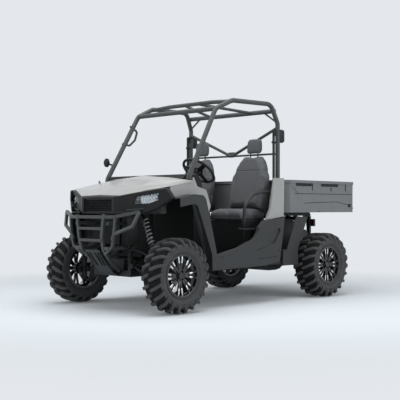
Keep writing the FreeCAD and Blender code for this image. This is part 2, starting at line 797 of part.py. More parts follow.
# Skid plates: the belly, its sump and a slotted plate up the front
belly_points = [(frame_front, s.belly_height), (frame_rear, s.belly_height)]
belly_points += [(frame_rear, rail_low - s.fit_gap), (frame_front, rail_low - s.fit_gap)]
rail_out = s.rail_centre + s.rail_width / 2
belly = prism([(-rail_out, y, z) for y, z in belly_points], (2 * rail_out, 0, 0))
sump_points = [(590, 301), (650, 272), (710, 262), (830, 262), (890, 272), (940, 301)]
sump = prism([(-rail_out, y, z) for y, z in sump_points], (2 * rail_out, 0, 0))
front_line = [(150.3, 300), (215, 330), (300, 418), (372, 510), (380, 545)]
front_line += [(372, 545), (364, 513), (294, 425), (211, 338), (150.3, 308)]
front_half = 101
front_plate = prism([nose(-front_half, reach, z) for reach, z in front_line], (2 * front_half, 0, 0))
slots = [box((x, front_axle_y - 400, 400), (x + 26, front_axle_y - 250, 520)) for x in (24, 62, -50, -88)]
solid("skid_plates", Part.makeCompound([fused([belly, sump]), front_plate.cut(Part.makeCompound(slots))]))

# Hood: facets between its crown, its inner crease, its shoulder and its edge
cowl_y = s.firewall_y - 155
hood_stations = [
    (front_axle_y - 295, 1036, (211, 1030), (250, 1029), (264, 1026)),
    (front_axle_y - 140, 1105, (262, 1093), (345, 1084), (535, 1082)),
    (front_axle_y - 88, 1130, (277, 1112), (380, 1095), (645, 1100)),
    (front_axle_y + 80, 1190, (332, 1170), (487, 1128), (672, 1130)),
    (cowl_y, 1222, (380, 1197), (585, 1172), (680, 1160)),
]


def hood_layer(low, high, stations, reach=0):
    """The hood's surface as a slab between two heights above it, carried out level to the reach."""
    rings = []
    for y, crown, crease, shoulder, edge in stations:
        row = [(0, crown), crease, shoulder, edge]
        if reach:
            row.append((reach, edge[1]))
        ring = [Vector(x, y, z + high) for x, z in row]
        rings.append(ring + [Vector(x, y, z + low) for x, z in reversed(row)])
    half = skin(rings)
    return fused([half, mirrored(half)])


solid("hood", hood_layer(-s.panel_thick, 0, hood_stations))
ahead = [(front_axle_y - 470, 960, (211, 954), (250, 953), (264, 950))]
above = hood_layer(-s.panel_thick - s.fit_gap, 300, ahead + hood_stations, 800)

# Fascia: a band round the nose with the grille's window, the lamps' windows and a corner wing
flare_inner = s.flare_half - s.flare_depth - s.fit_gap
nose_low = 868
outer_plan = [(225, s.nose_reach), (330, 260), (flare_inner, 121)]
inner_plan = [(flare_inner, 61), (330, 215), (215, s.nose_reach - 30)]
plan = [(-x, reach) for x, reach in reversed(outer_plan)] + outer_plan
plan += inner_plan + [(-x, reach) for x, reach in reversed(inner_plan)]
band = prism([nose(x, reach, nose_low) for x, reach in plan], (0, 0, 260))
wing_corners = [(502, 872), (604, 912), (723, 1006), (672, 1092), (634, 1085), (612, 1000), (520, 930)]
wing_points = [nose(x, 229 - (x - 502) * 147 / 221, z) for x, z in wing_corners]
wing_deep = 44
wing = prism(wing_points, (0, wing_deep, 0))
fin = prism([nose(245, 330, 868), nose(502, 229, 868), nose(502, 229, 884), nose(245, 330, 884)], (0, 50, 0))
grille_y = front_axle_y - s.nose_reach
window = box((-s.grille_half, grille_y - 10, s.grille_low), (s.grille_half, grille_y + 60, s.grille_high))
lamp_points = [(390, 948), (415, 1018), (600, 1050), (622, 990), (560, 958)]
lamp_wire = Part.makePolygon([Vector(x, front_axle_y - 400, z) for x, z in lamp_points + lamp_points[:1]])
lamp_core = Part.Face(lamp_wire).extrude(Y * 380)
lamp_window = Part.Face(lamp_wire.makeOffset2D(s.fit_gap, 2)).extrude(Y * 380)
fascia = fused([band, wing, mirrored(wing), fin, mirrored(fin)]).cut(above).cut(window)
solid("fascia", fascia.cut(lamp_window).cut(mirrored(lamp_window)))
lamp_plan = [(330, 254), (flare_inner, 115), (flare_inner, 67), (330, 221)]
lamp_band = prism([nose(x, reach, 900) for x, reach in lamp_plan], (0, 0, 200))
lamp = lamp_core.common(lamp_band).cut(above)
solid("headlamps", both_sides(lamp))

# Grille: a plate of hexagonal holes in the fascia's window
plate = box(
    (-s.grille_half + s.fit_gap, grille_y + 10, s.grille_low + s.fit_gap),
    (s.grille_half - s.fit_gap, grille_y + 22, s.grille_high - s.fit_gap),
)
columns = int(s.grille_columns)
pitch = 2 * (s.grille_half - 12) / columns
row_rise = pitch * math.sin(math.radians(60)) / 2
holes = []
for row, rise in enumerate((-row_rise, row_rise)):
    for column_index in range(columns - row):
        x = (column_index + 0.5 + row / 2 - columns / 2) * pitch
        z = (s.grille_low + s.grille_high) / 2 + rise
        corners = [(x + a, grille_y, z + b) for a, b in flats(pitch / 2 - s.grille_bar / 2, 6)]
        holes.append(prism(corners, (0, 40, 0)))
solid("grille", plate.cut(Part.makeCompound(holes)))
solid("radiator", box((-160, frame_front - 45, 590), (160, frame_front - s.fit_gap, 1000)))


def side_corners(points, origin):
    """Corners of a side outline, measured along from an origin on the sheet."""
    return [(f"{origin} + {p[0]}", str(p[1])) + tuple(str(r) for r in p[2:]) for p in points]


# Front flares: the arch moulding, with its front end cut to the corner wing
flare_points = [(-150, 905), (-60, 918), (131, 950), (200, 932, -70), (278, 749), (345, 590), (380, 500)]
flare_points += [(385, 360), (430, 354), (438, 522), (351, 839), (306, 983), (241, 1034, 70), (149, 1038)]
flare_points += [(-60, 995), (-150, 975)]
flare_corners = side_corners(flare_points, FRONT)
flare = side_body("Flare", flare_corners, "Sizes.flare_half - Sizes.flare_depth", "Sizes.flare_depth")
wing_back = wing_deep + s.fit_gap
cut_plan = [(502, 229 - wing_back), (800, 31 - wing_back), (800, 400), (502, 400)]
corner_cut = prism([nose(x, reach, 300) for x, reach in cut_plan], (0, 0, 800))
flare_shell = shelled(flare, s.panel_thick, (-s.panel_thick, -s.panel_thick)).cut(corner_cut).cut(cage_cut)
flare_shell = max(flare_shell.Solids, key=lambda part: part.Volume)
solid("front_flares", both_sides(flare_shell))

side_points = [(-50, 1130), (-50, 990), (200, 1030), (268, 1000), (304, 960), (350, 830), (395, 800)]
side_points += [(455, 935), (397, 1080), (282, 1110), (240, 1190), (85, 1170)]
side_corner_list = side_corners(side_points, FRONT)
side_panel = side_body("SidePanel", side_corner_list, "Sizes.side_panel_half - 25", "Sizes.panel_thick * 2")
flare_space = flare.Shape.fuse(moved(flare.Shape, Vector(0, s.fit_gap, s.fit_gap)))
side_shape = side_panel.Shape.cut(above).cut(flare_space).cut(corner_cut).cut(cage_cut)
side_shape = max(side_shape.Solids, key=lambda part: part.Volume)
solid("front_side_panels", both_sides(side_shape))

# Rockers: a curved upper edge and a pocket pressed into the skin
cab_length = 1083
cab = "(Sizes.rear_post_y - Sizes.firewall_y)"


def cab_corners(points):
    """Corners of a side outline that stretches with the cab, measured back from the firewall."""
    made = []
    for y, z, *arc in points:
        radius = tuple(f"{value} / {cab_length} * {cab}" for value in arc)
        made.append((f"Sizes.firewall_y + {y} / {cab_length} * {cab}", str(z)) + radius)
    return made


rocker_points = [(61, 354), (735, 363), (985, 393), (1065, 826), (757, 796), (683, 735), (534, 599, -175)]
rocker_points += [(389, 549), (101, 492), (63, 490)]
rocker_corners = cab_corners(rocker_points)
rear_post = "Sizes.rear_post_y"
rocker_inner = "Sizes.rocker_half - Sizes.rocker_depth"
rocker = side_body("Rocker", rocker_corners, rocker_inner, "Sizes.rocker_depth")
dish_points = [(800, 600), (812, 655), (850, 690), (975, 722), (1000, 700), (905, 572), (840, 570)]
middle_y = sum(point[0] for point in dish_points) / len(dish_points)
middle_z = sum(point[1] for point in dish_points) / len(dish_points)
wall_points = []
for y, z in dish_points:
    wall_points.append((middle_y + 1.08 * (y - middle_y), middle_z + 1.1 * (z - middle_z)))
dish = side_body("Dish", cab_corners(dish_points), "Sizes.rocker_half - 14", "20")
dish_wall = side_body("DishWall", cab_corners(wall_points), "Sizes.rocker_half - 19", "16")
rocker_shell = shelled(rocker, s.panel_thick, (0, -s.panel_thick))
rocker_shape = fused([rocker_shell, dish_wall.Shape]).cut(dish.Shape)
solid("rockers", both_sides(rocker_shape))

quarter_points = [(-272, 804), (-14, 834), (-6, 1212), (-144, 1212), (-175, 1080), (-213, 918)]
quarter_inner = "Sizes.quarter_half - Sizes.quarter_depth"
quarter = side_body("Quarter", side_corners(quarter_points, rear_post), quarter_inner, "Sizes.quarter_depth")
solid("quarter_panels", both_sides(shelled(quarter, s.panel_thick, (0, -s.panel_thick))))

# Rear fenders: a sloping panel over a storage box
wheel_front = "Sizes.fender_y"
panel_corners = side_corners([(98, 497)], rear_post) + side_corners([(-26, 497), (140, 829)], wheel_front)
panel_corners += side_corners([(250, 829)], rear_post)
fender_panel = side_body("Fender", panel_corners, "Sizes.fender_half", "8")
box_corners = side_corners([(38, 345)], rear_post) + side_corners([(-20, 345), (-26, 500)], wheel_front)
box_corners += side_corners([(40, 500)], rear_post)
fender_box = side_body("FenderBox", box_corners, "Sizes.fender_half - 52", "60")
solid("rear_fenders", both_sides(fused([fender_panel.Shape, fender_box.Shape])))

# Cab: floor, dashboard and seats
floor_low = sill_top + s.fit_gap
floor_top = floor_low + s.floor_thick
base_half = s.sill_centre - 30
floor_half = base_half - 2
floor_plate = box((-floor_half, s.firewall_y, floor_low), (floor_half, s.seat_base_rear_y, floor_top))
wall = box((-520, s.firewall_y, floor_low), (520, s.firewall_y + s.floor_thick, s.dash_bottom + 60))
solid("cab_floor", fused([floor_plate, wall]))

dash_front = s.floor_thick + s.fit_gap
dash_points = [(-145, 1120), (-145, 1186), (-105, 1226), (45, 1222), (90, 1180), (105, 1080)]
dash_points += [(55, s.dash_bottom), (dash_front, s.dash_bottom), (dash_front, 1090)]
dash_half = 530
dash = prism([(-dash_half, s.firewall_y + y, z) for y, z in dash_points], (2 * dash_half, 0, 0))
glove_box = box((-430, s.firewall_y + 62, 1010), (-120, s.firewall_y + 200, 1130))
column_space = rod(tuple(column_top), tuple(column_foot - column_axis), column_radius + s.fit_gap)
solid("dashboard", dash.cut(column_space).cut(glove_box).cut(above))

base_wall = 18
base = box(
    (-base_half, s.seat_front_y, floor_top + s.fit_gap), (base_half, s.seat_base_rear_y, s.seat_base_top)
)
inside = box(
    (base_wall - base_half, s.seat_front_y + base_wall, sill_top),
    (base_half - base_wall, s.seat_base_rear_y + 1, s.seat_base_top - 12),
)
side_window = box((-base_half - 1, s.seat_front_y + 110, 560), (base_half + 1, s.seat_front_y + 250, 700))
solid("seat_base", base.cut(inside).cut(side_window))


def seat_ring(centre, half, front, rear, z):
    """A level slice through a seat, from the base's rear edge: a dished front between two bolsters."""
    front, rear = s.seat_base_rear_y + front, s.seat_base_rear_y + rear
    across = [(-half, rear), (-half, front + 14), (-0.62 * half, front - 8), (-0.42 * half, front + 8)]
    ring = across + [(-x, y) for x, y in reversed(across)]
    return [Vector(centre + x, y, z) for x, y in ring]


def seat_pieces(centre):
    """A cushion, and a backrest that narrows to its headrest on two stems."""
    half = s.seat_width / 2
    low = s.seat_base_top + s.fit_gap
    front = s.seat_front_y - 40
    top = s.cushion_top
    profile = [(-half, low), (half, low), (half, top - 22), (half - 26, top), (0.5 * half, top - 12)]
    profile += [(-0.5 * half, top - 12), (26 - half, top), (-half, top - 22)]
    rings = []
    for y, rise in ((front, 0.72), (front + 18, 0.94), (front + 60, 1), (s.seat_base_rear_y - 75, 0.97)):
        rings.append([Vector(centre + x, y, low + (z - low) * rise) for x, z in profile])
    cushion = skin(rings)
    back_low = top + s.fit_gap
    slices = [
        seat_ring(centre, 205, -184, -80, back_low),
        seat_ring(centre, 238, -142, -40, 1120),
        seat_ring(centre, 232, -118, -24, 1230),
        seat_ring(centre, 165, -78, -8, 1390),
        seat_ring(centre, 118, -62, -4, 1444),
    ]
    rest_slices = [
        seat_ring(centre, 92, -56, -2, 1462),
        seat_ring(centre, 104, -54, 8, 1500),
        seat_ring(centre, 98, -44, 12, 1590),
        seat_ring(centre, 78, -34, 8, 1624),
    ]
    stem_y = s.seat_base_rear_y - 30
    stems = [rod((centre + x, stem_y, 1400), (centre + x, stem_y + 6, 1500), 7, 6) for x in (-48, 48)]
    return cushion, fused([skin(slices), skin(rest_slices)] + stems)


left_seat, right_seat = seat_pieces(s.seat_centre), seat_pieces(-s.seat_centre)
solid("seat_cushions", Part.makeCompound([left_seat[0], right_seat[0]]))
solid("seat_backs", Part.makeCompound([left_seat[1], right_seat[1]]))

# Hip hoops beside the seats and the passenger's grab handle
firewall_back = s.firewall_y + 100
hip_line = [(-125, 765), (-106, 940), (0, 1045), (150, 1076), (315, 1066), (342, 950), (250, 790)]
hip_x = s.sill_centre + 30
hip_points = [(base_half - 30, s.seat_front_y + 10, 735)]
hip_points += [(hip_x, s.seat_front_y + 60 + y, z) for y, z in hip_line]
hip_points.append((base_half - 30, s.seat_front_y + 250, 745))
base_space = box((-base_half - s.fit_gap, firewall_back, 300), (base_half + s.fit_gap, s.rear_post_y, 1100))
hip = tube(hip_points, 13, 40, sides=6, steps=1).cut(base_space).cut(cage_cut)
hip = max(hip.Solids, key=lambda part: part.Volume)
handle_line = [(-552, -520, -188), (-551, -411, -253), (-553, -440, -338)]
handle_line += [(-556, -510, -398), (-560, -640, -378)]
handle_points = [(x, s.header_y + 400 + y, s.cage_roof + z) for x, y, z in handle_line]
handle = tube(handle_points, 11, 30, sides=6, steps=1).cut(cage_cut)
handle = max(handle.Solids, key=lambda part: part.BoundBox.YMax)
solid("restraint_bars", Part.makeCompound([hip, mirrored(hip), handle]))

# Seat belts: retractors behind the pillars and straps down to the seat base
strap_x = s.cage_rear_half - 37
strap_front = s.rear_post_y - 54
strap_back = s.rear_post_y - 26
strap_low = s.seat_base_top + s.fit_gap
retractor = box(
    (s.cage_rear_half - 14, s.rear_post_y, s.cage_roof - 383),
    (s.cage_rear_half + 30, s.rear_post_y + 102, s.cage_roof - 263),
).cut(cage_cut)
retractor = max(retractor.Solids, key=lambda part: part.Volume)
strap_top = s.cage_roof - 288
anchor = box((strap_x, strap_back - 4, strap_top - 60), (strap_x + 17, s.rear_post_y + 24, strap_top))
webbing = box((strap_x, strap_front, strap_low), (strap_x + 3, strap_back, strap_top))
strap = fused([anchor, webbing]).cut(cage_cut)
strap = max(strap.Solids, key=lambda part: part.Volume)
solid("seat_belts", Part.makeCompound([retractor, strap, mirrored(retractor), mirrored(strap)]))

# Mirror on the far pillar
pillar_low, pillar_high = (Vector(*point) for point in hoop_points[2:4])
grip = pillar_low + (pillar_high - pillar_low) * 0.22
grip.x *= -1
mirror_arm = rod(tuple(grip), tuple(grip + Vector(-82, -17, 33)), 8, 6)
head_front, head_back = grip + Vector(-100, -31, 37), grip + Vector(-94, 3, 37)
mirror_head = stack(tuple(head_front), tuple(head_back), [(0, 34), (8, 42), (26, 42), (34, 22)])
mirror_piece = fused([mirror_arm, mirror_head]).cut(cage_cut)
mirror_piece = min(mirror_piece.Solids, key=lambda part: part.BoundBox.XMin)
solid("mirror", mirror_piece)

# Cargo bed: rounded front corners, an overhanging rail and slots beneath it
rail_high = 30
rail_lip = 10


def bed_plan(name, inset, low, deep):
    """A slab of the bed's plan, inset all round, that runs out through the rear when it is a hollow."""
    body = doc.addObject("PartDesign::Body", name)
    half = f"(Sizes.bed_half - {inset})"
    front = f"(Sizes.bed_front_y + {inset})"
    bend = f"(Sizes.bed_corner - {inset} / 2)"
    rear = f"({REAR_END} + {0 if inset <= rail_lip else 1})"
    corners = [
        (f"-{half} + {bend}", front),
        (f"{half} - {bend}", front),
        (half, f"{front} + {bend}"),
        (half, rear),
        (f"-{half}", rear),
        (f"-{half}", f"{front} + {bend}"),
    ]
    pad(body, outline(body, f"{name}_plan", "XY_Plane", corners, low), f"{name}_slab", deep)
    doc.recompute()
    return body.Shape


bed_side = bed_plan("BedSide", rail_lip, "Sizes.bed_low", f"Sizes.bed_top - Sizes.bed_low - {rail_high}")
bed_rail = bed_plan("BedRail", 0, f"Sizes.bed_top - {rail_high}", str(rail_high))
bed_hollow = bed_plan("BedHollow", int(s.bed_wall), "Sizes.bed_low + Sizes.bed_floor", "Sizes.bed_top")
bed_lugs = []
for x in (-lug_centre, lug_centre):
    bed_lugs.append(
        box((x - 12, bed_pivot_y - 22, s.bed_pivot_z - 22), (x + 12, bed_pivot_y + 22, s.bed_low + 5))
    )
skin_x = s.bed_half - rail_lip
rib_low = s.bed_top - 105
ribs = []
bed_length = rear_end_y - s.bed_front_y
for near, far in ((0.377, 0.42), (0.884, 0.944)):
    rib_front, rib_back = s.bed_front_y + near * bed_length, s.bed_front_y + far * bed_length
    ribs.append(box((skin_x - 5, rib_front, rib_low), (skin_x + 7, rib_back, s.bed_top - 20)))
slots = []
for near, far in ((0.139, 0.368), (0.503, 0.767)):
    slot_front, slot_back = s.bed_front_y + near * bed_length, s.bed_front_y + far * bed_length
    slots.append(
        box((skin_x - 12, slot_front, s.bed_top - 60), (skin_x + 5, slot_back, s.bed_top - rail_high))
    )
bed_shape = fused([bed_side, bed_rail] + ribs + [mirrored(rib) for rib in ribs])
bed_shape = bed_shape.cut(Part.makeCompound([bed_hollow] + slots + [mirrored(slot) for slot in slots]))
bed_shape = fused([bed_shape] + bed_lugs)
bore_half = s.rail_centre + s.rail_width
bed_pin_bore = rod(
    (-bore_half, bed_pivot_y, s.bed_pivot_z), (bore_half, bed_pivot_y, s.bed_pivot_z), s.bed_pin + s.fit_gap
)
gate_pin_y = rear_end_y - s.tailgate_thick / 2
gate_pin_z = s.bed_low + s.bed_floor + 22
gate_pin = 9
pin_reach = s.bed_half - 2
gate_bore = rod(
    (-s.bed_half, gate_pin_y, gate_pin_z), (s.bed_half, gate_pin_y, gate_pin_z), gate_pin + s.fit_gap
)
solid("cargo_bed", bed_shape.cut(bed_pin_bore).cut(gate_bore))

gate_half = s.bed_half - s.bed_wall - s.running_gap
gate = box(
    (-gate_half, rear_end_y - s.tailgate_thick, gate_pin_z), (gate_half, rear_end_y, s.bed_top - 4)
)
gate_hollow = box(
    (-gate_half + 60, rear_end_y - 12, gate_pin_z + 50), (gate_half - 60, rear_end_y + 1, s.bed_top - 60)
)
barrel = rod((-gate_half, gate_pin_y, gate_pin_z), (gate_half, gate_pin_y, gate_pin_z), s.tailgate_thick / 2)
gate_pins = pin((-pin_reach, gate_pin_y, gate_pin_z), (pin_reach, gate_pin_y, gate_pin_z), gate_pin)
solid("tailgate", fused([gate.cut(gate_hollow), barrel, gate_pins]))

# Powertrain under the bed and behind the nose
gear_low = rail_low + s.fit_gap
engine = box((-205, s.bed_front_y + 95, gear_low), (205, rear_axle_y - 170, bed_rail_low - 40))
transaxle = box((-gear_half, rear_axle_y - 110, gear_low), (gear_half, rear_axle_y + 100, gear_top))
diff = box((-gear_half, front_axle_y - 90, gear_low), (gear_half, front_axle_y + 70, gear_top))
silencer_y = frame_rear - s.tube_square - 80 - s.fit_gap
silencer = rod((-250, silencer_y, 600), (250, silencer_y, 600), 80, 12)
solid("powertrain", Part.makeCompound([engine, transaxle, diff, silencer]))

hitch = box((-32, frame_rear - 90, rail_low), (32, frame_rear + 40, rail_low + 64))
hitch = hitch.cut(box((-26, frame_rear - 80, rail_low + 6), (26, frame_rear + 41, rail_low + 58)))
hitch_pin = pin((-40, frame_rear + 10, rail_low + 32), (40, frame_rear + 10, rail_low + 32), 8)
solid("hitch_receiver", hitch.cut(hitch_pin))

lamp_block = box((190, frame_rear + s.fit_gap, 715), (300, frame_rear + 30, 795))
solid("tail_lamps", both_sides(lamp_block))

doc.recompute()
for piece in doc.Objects:
    if "Invalid" in piece.State or "Error" in piece.State:
        raise RuntimeError(f"{piece.Label}: {piece.State}")
os.makedirs("parts", exist_ok=True)
for piece in nodes:
    if piece.Shape.isNull() or not piece.Shape.isValid():
        raise RuntimeError(f"{piece.Label} has no valid shape")
    piece.Shape.exportStep(f"parts/{piece.Label}.step")
print(len(nodes), "nodes", Part.makeCompound([piece.Shape for piece in nodes]).BoundBox)
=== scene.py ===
"""Looks of the side by side utility vehicle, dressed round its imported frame, front at -Y and up at +Z."""

import json
import logging
import math
from dataclasses import dataclass
from enum import Enum
from typing import Any, Callable, Iterable

import bmesh
import bpy
from mathutils import Matrix, Quaternion, Vector


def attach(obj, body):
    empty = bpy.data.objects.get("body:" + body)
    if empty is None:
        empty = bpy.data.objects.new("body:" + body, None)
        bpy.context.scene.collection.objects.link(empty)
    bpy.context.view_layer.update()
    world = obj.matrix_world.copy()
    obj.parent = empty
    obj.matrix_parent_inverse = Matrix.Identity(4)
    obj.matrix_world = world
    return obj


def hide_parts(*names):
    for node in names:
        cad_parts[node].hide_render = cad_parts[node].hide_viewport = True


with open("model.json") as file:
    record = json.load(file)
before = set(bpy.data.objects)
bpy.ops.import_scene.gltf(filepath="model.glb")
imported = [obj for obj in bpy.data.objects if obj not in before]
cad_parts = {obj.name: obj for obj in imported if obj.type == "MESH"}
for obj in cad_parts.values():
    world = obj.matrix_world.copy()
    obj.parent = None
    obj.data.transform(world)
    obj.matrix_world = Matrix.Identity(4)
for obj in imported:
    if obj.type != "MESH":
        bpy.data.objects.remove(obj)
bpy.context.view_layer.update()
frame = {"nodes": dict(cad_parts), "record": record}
LOG = logging.getLogger("side_by_side")
MM = 0.001

Mesh = bmesh.types.BMesh
Tree = bpy.types.NodeTree
Socket = bpy.types.NodeSocket
Node = bpy.types.Node
Piece = bpy.types.Object
Pair = tuple[float, float]
Triple = tuple[float, float, float]
Quad = tuple[float, float, float, float]


def linear(colour: str) -> Quad:
    """Turns an sRGB hex colour to the linear values that a shader takes.

    Args:
        colour: The colour as six hex digits, with or without a leading mark.

    Returns:
        Red, green, blue and an alpha of one.
    """
    digits = colour.lstrip("#")
    parts = [int(digits[i : i + 2], 16) / 255 for i in (0, 2, 4)]
    curved = [p / 12.92 if p <= 0.04045 else ((p + 0.055) / 1.055) ** 2.4 for p in parts]
    return (*curved, 1.0)


def add_node(
    tree: Tree,
    kind: str,
    settings: dict[str | int, Any] | None = None,
    links: dict[str | int, Socket] | None = None,
) -> Node:
    """Adds a node with its settings and links.

    Args:
        tree: The material's or the world's node tree.
        kind: The node's type.
        settings: Values by the name or number of an input, or by the name of a property.
        links: Output sockets by the name or number of the input that each feeds.

    Returns:
        The new node.
    """
    node = tree.nodes.new(kind)
    for key, value in (settings or {}).items():
        if isinstance(key, str) and hasattr(node, key):
            setattr(node, key, value)
        else:
            node.inputs[key].default_value = value
    for key, socket in (links or {}).items():
        tree.links.new(socket, node.inputs[key])
    return node


class Stuff(Enum):
    """What a finish is made of, which says how its surface reads."""

    PAINT = "paint"
    PLASTIC = "plastic"
    METAL = "metal"
    RUBBER = "rubber"
    CLOTH = "cloth"
    GLASS = "glass"


# Textured and satin coats scatter most of what they mirror, so they get less than a polished one's sheen
STUFF_TRAITS: dict[Stuff, dict[str, float]] = {
    Stuff.PAINT: {"Specular IOR Level": 0.3},
    Stuff.PLASTIC: {"Specular IOR Level": 0.25},
    Stuff.RUBBER: {"Specular IOR Level": 0.2},
    Stuff.METAL: {"Metallic": 1.0},
    Stuff.GLASS: {"Transmission Weight": 1.0, "IOR": 1.5},
}
COAT_ROUGHNESS = 0.12
# How far the gloss drifts either way, and how many drifts of tone there are to a metre
GLOSS_DRIFT = 0.06
DRIFT_SCALE = 9.0


@dataclass(frozen=True)
class Finish:
    """A surface finish: its colour, its gloss and the grain that shows from a step away.

    Attributes:
        name: The material's name.
        stuff: What it is made of.
        colour: sRGB hex of the clean surface.
        roughness: Typical roughness of the clean surface.
        grain: Size of the surface's grain in millimetres.
        relief: Depth of the grain in millimetres.
        mottle: How much the tone drifts over the surface, as a share.
        coat: Weight of a clear gloss over the colour.
    """

    name: str
    stuff: Stuff
    colour: str
    roughness: float
    grain: float = 2.0
    relief: float = 0.1
    mottle: float = 0.06
    coat: float = 0.0

    def material(self) -> bpy.types.Material:
        """Makes the finish's material once and hands the same one out after that.

        Returns:
            The material.
        """
        made = bpy.data.materials.get(self.name)
        if made:
            return made
        made = bpy.data.materials.new(self.name)
        made.use_nodes = True
        tree = made.node_tree
        tree.nodes.clear()
        place = add_node(tree, "ShaderNodeTexCoord").outputs["Object"]
        slow = {"Scale": DRIFT_SCALE, "Detail": 5.0}
        drift = add_node(tree, "ShaderNodeTexNoise", slow, {"Vector": place})
        shader = add_node(tree, "ShaderNodeBsdfPrincipled")
        self.tint(tree, shader, drift)
        self.surface(tree, shader, place, drift)
        add_node(tree, "ShaderNodeOutputMaterial", None, {"Surface": shader.outputs[0]})
        return made

    def tint(self, tree: Tree, shader: Node, drift: Node) -> None:
        """Lets the colour drift a little round its written value.

        Args:
            tree: The material's tree.
            shader: The surface shader.
            drift: The slow noise that the tone follows.
        """
        base = Vector(linear(self.colour)[:3])
        ramp = add_node(tree, "ShaderNodeValToRGB", None, {"Fac": drift.outputs["Fac"]})
        for stop, place, share in zip(ramp.color_ramp.elements, (0.3, 0.7), (-1, 1)):
            stop.position = place
            stop.color = (*(base * (1 + share * self.mottle)), 1.0)
        tree.links.new(ramp.outputs["Color"], shader.inputs["Base Color"])

    def surface(self, tree: Tree, shader: Node, place: Socket, drift: Node) -> None:
        """Sets gloss and grain.

        Args:
            tree: The material's tree.
            shader: The surface shader.
            place: The object coordinates.
            drift: The slow noise, which also moves the gloss.
        """
        traits = dict(STUFF_TRAITS.get(self.stuff, {}))
        traits |= {"Coat Weight": self.coat, "Coat Roughness": COAT_ROUGHNESS}
        for name, value in traits.items():
            shader.inputs[name].default_value = value
        least, most = max(self.roughness - GLOSS_DRIFT, 0.02), min(self.roughness + GLOSS_DRIFT, 1.0)
        stops = {"To Min": least, "To Max": most}
        gloss = add_node(tree, "ShaderNodeMapRange", stops, {"Value": drift.outputs["Fac"]})
        tree.links.new(gloss.outputs["Result"], shader.inputs["Roughness"])
        if self.stuff is Stuff.CLOTH:
            height = self.weave(tree, place)
        else:
            fine = {"Scale": 1 / (self.grain * MM), "Detail": 2.0}
            height = add_node(tree, "ShaderNodeTexNoise", fine, {"Vector": place}).outputs["Fac"]
        depth = {"Strength": 0.6, "Distance": self.relief * MM}
        bump = add_node(tree, "ShaderNodeBump", depth, {"Height": height})
        tree.links.new(bump.outputs["Normal"], shader.inputs["Normal"])

    def weave(self, tree: Tree, place: Socket) -> Socket:
        """Crosses two sets of threads.

        Args:
            tree: The material's tree.
            place: The object coordinates.

        Returns:
            The threads' height.
        """
        threads = {}
        for index, way in enumerate(("X", "Z")):
            look = {"bands_direction": way, "Scale": 1 / (self.grain * MM) / 20, "Distortion": 0.4}
            threads[index] = add_node(tree, "ShaderNodeTexWave", look, {"Vector": place}).outputs["Fac"]
        return add_node(tree, "ShaderNodeMath", {"operation": "MAXIMUM"}, threads).outputs[0]


# Injection moulded body panels in metallic silver: smooth, with a clear coat that gives broad soft lights
SILVER_PANEL = Finish("silver_moulded_panel", Stuff.PAINT, "#A2A3A2", 0.32, 1.2, 0.02, 0.02, 0.3)
# Mould-textured polypropylene: a fine even grain with a dull sheen
DARK_PANEL = Finish("textured_polypropylene", Stuff.PLASTIC, "#393B3C", 0.55, 1.6, 0.06, 0.05)
# The same plastic, nearly black, for the black parts; it also serves as painted shade on the dark sheets in
# the arches and the nose and on the dark crease lines
BLACK_PANEL_AND_SHADE = Finish("black_polypropylene_and_painted_shade", Stuff.PLASTIC, "#101112", 0.55, 1.6, 0.06, 0.06)
# Rotationally moulded bed liner: a coarser pebble
BED_PANEL = Finish("pebbled_bed_polymer", Stuff.PLASTIC, "#787A7C", 0.52, 2.4, 0.12, 0.05)
# Powder-coated tube: a faint orange peel under a satin gloss
COATED_TUBE = Finish("powder_coated_tube", Stuff.PAINT, "#484C4C", 0.42, 3.0, 0.05, 0.04)
# Powder-coated chassis steel, darker, as it lies in the shade
COATED_CHASSIS = Finish("powder_coated_chassis", Stuff.PAINT, "#1A1B1C", 0.5, 3.0, 0.06, 0.08)
SPRING_STEEL = Finish("bright_spring_steel", Stuff.METAL, "#C9CBCC", 0.3, 2.0, 0.03, 0.04)
CAST_ALUMINIUM = Finish("sand_cast_aluminium", Stuff.METAL, "#404244", 0.5, 2.2, 0.12, 0.08)
# Gloss-black alloy
BLACK_ALLOY = Finish("gloss_black_alloy", Stuff.PAINT, "#1B1C1D", 0.25, 2.0, 0.02, 0.03, 0.6)
TYRE_RUBBER = Finish("tyre_rubber", Stuff.RUBBER, "#4D4D4E", 0.72, 1.5, 0.12, 0.12)
SEAT_VINYL = Finish("grained_seat_vinyl", Stuff.PLASTIC, "#595B5E", 0.55, 1.8, 0.1, 0.05)
BELT_WEBBING = Finish("polyester_webbing", Stuff.CLOTH, "#1E1F20", 0.8, 1.6, 0.25, 0.06)
CLEAR_LENS = Finish("clear_polycarbonate", Stuff.GLASS, "#F4F8FA", 0.05, 6.0, 0.02, 0.0)
RED_LENS = Finish("red_acrylic", Stuff.PLASTIC, "#430D0F", 0.2, 3.0, 0.1, 0.03, 0.5)
# Painted shade down between the lugs: the same rubber, dead matt and much darker than the lugs and walls
GROOVE_SHADE_RUBBER = Finish("tread_groove_painted_shade", Stuff.RUBBER, "#19191A", 0.85, 1.5, 0.12, 0.1)
# Lathe-turned faces on the spokes: bright, with fine tool marks
MACHINED_ALLOY = Finish("machined_alloy", Stuff.METAL, "#D6D8DA", 0.22, 1.2, 0.02, 0.04)
# Vacuum-metallised reflector
LAMP_SILVER = Finish("metallised_reflector", Stuff.METAL, "#EDEFF1", 0.12, 6.0, 0.02, 0.02)
# Painted damper bodies
DAMPER_BODY = Finish("painted_damper", Stuff.PAINT, "#303234", 0.35, 2.0, 0.03, 0.05, 0.2)
# The same coat in black, on the bars that hands and hips touch
BLACK_TUBE = Finish("black_coated_tube", Stuff.PAINT, "#2A2C2D", 0.38, 3.0, 0.05, 0.05)
# Small moulded fittings: a fine dull satin; the same finish also paints shade on the fascia, on the plates
# beside and over the lamps and behind the bed's slots
SATIN_BLACK_AND_SHADE = Finish("satin_black_nylon_and_painted_shade", Stuff.PLASTIC, "#1D1E1F", 0.45, 1.4, 0.05, 0.06)

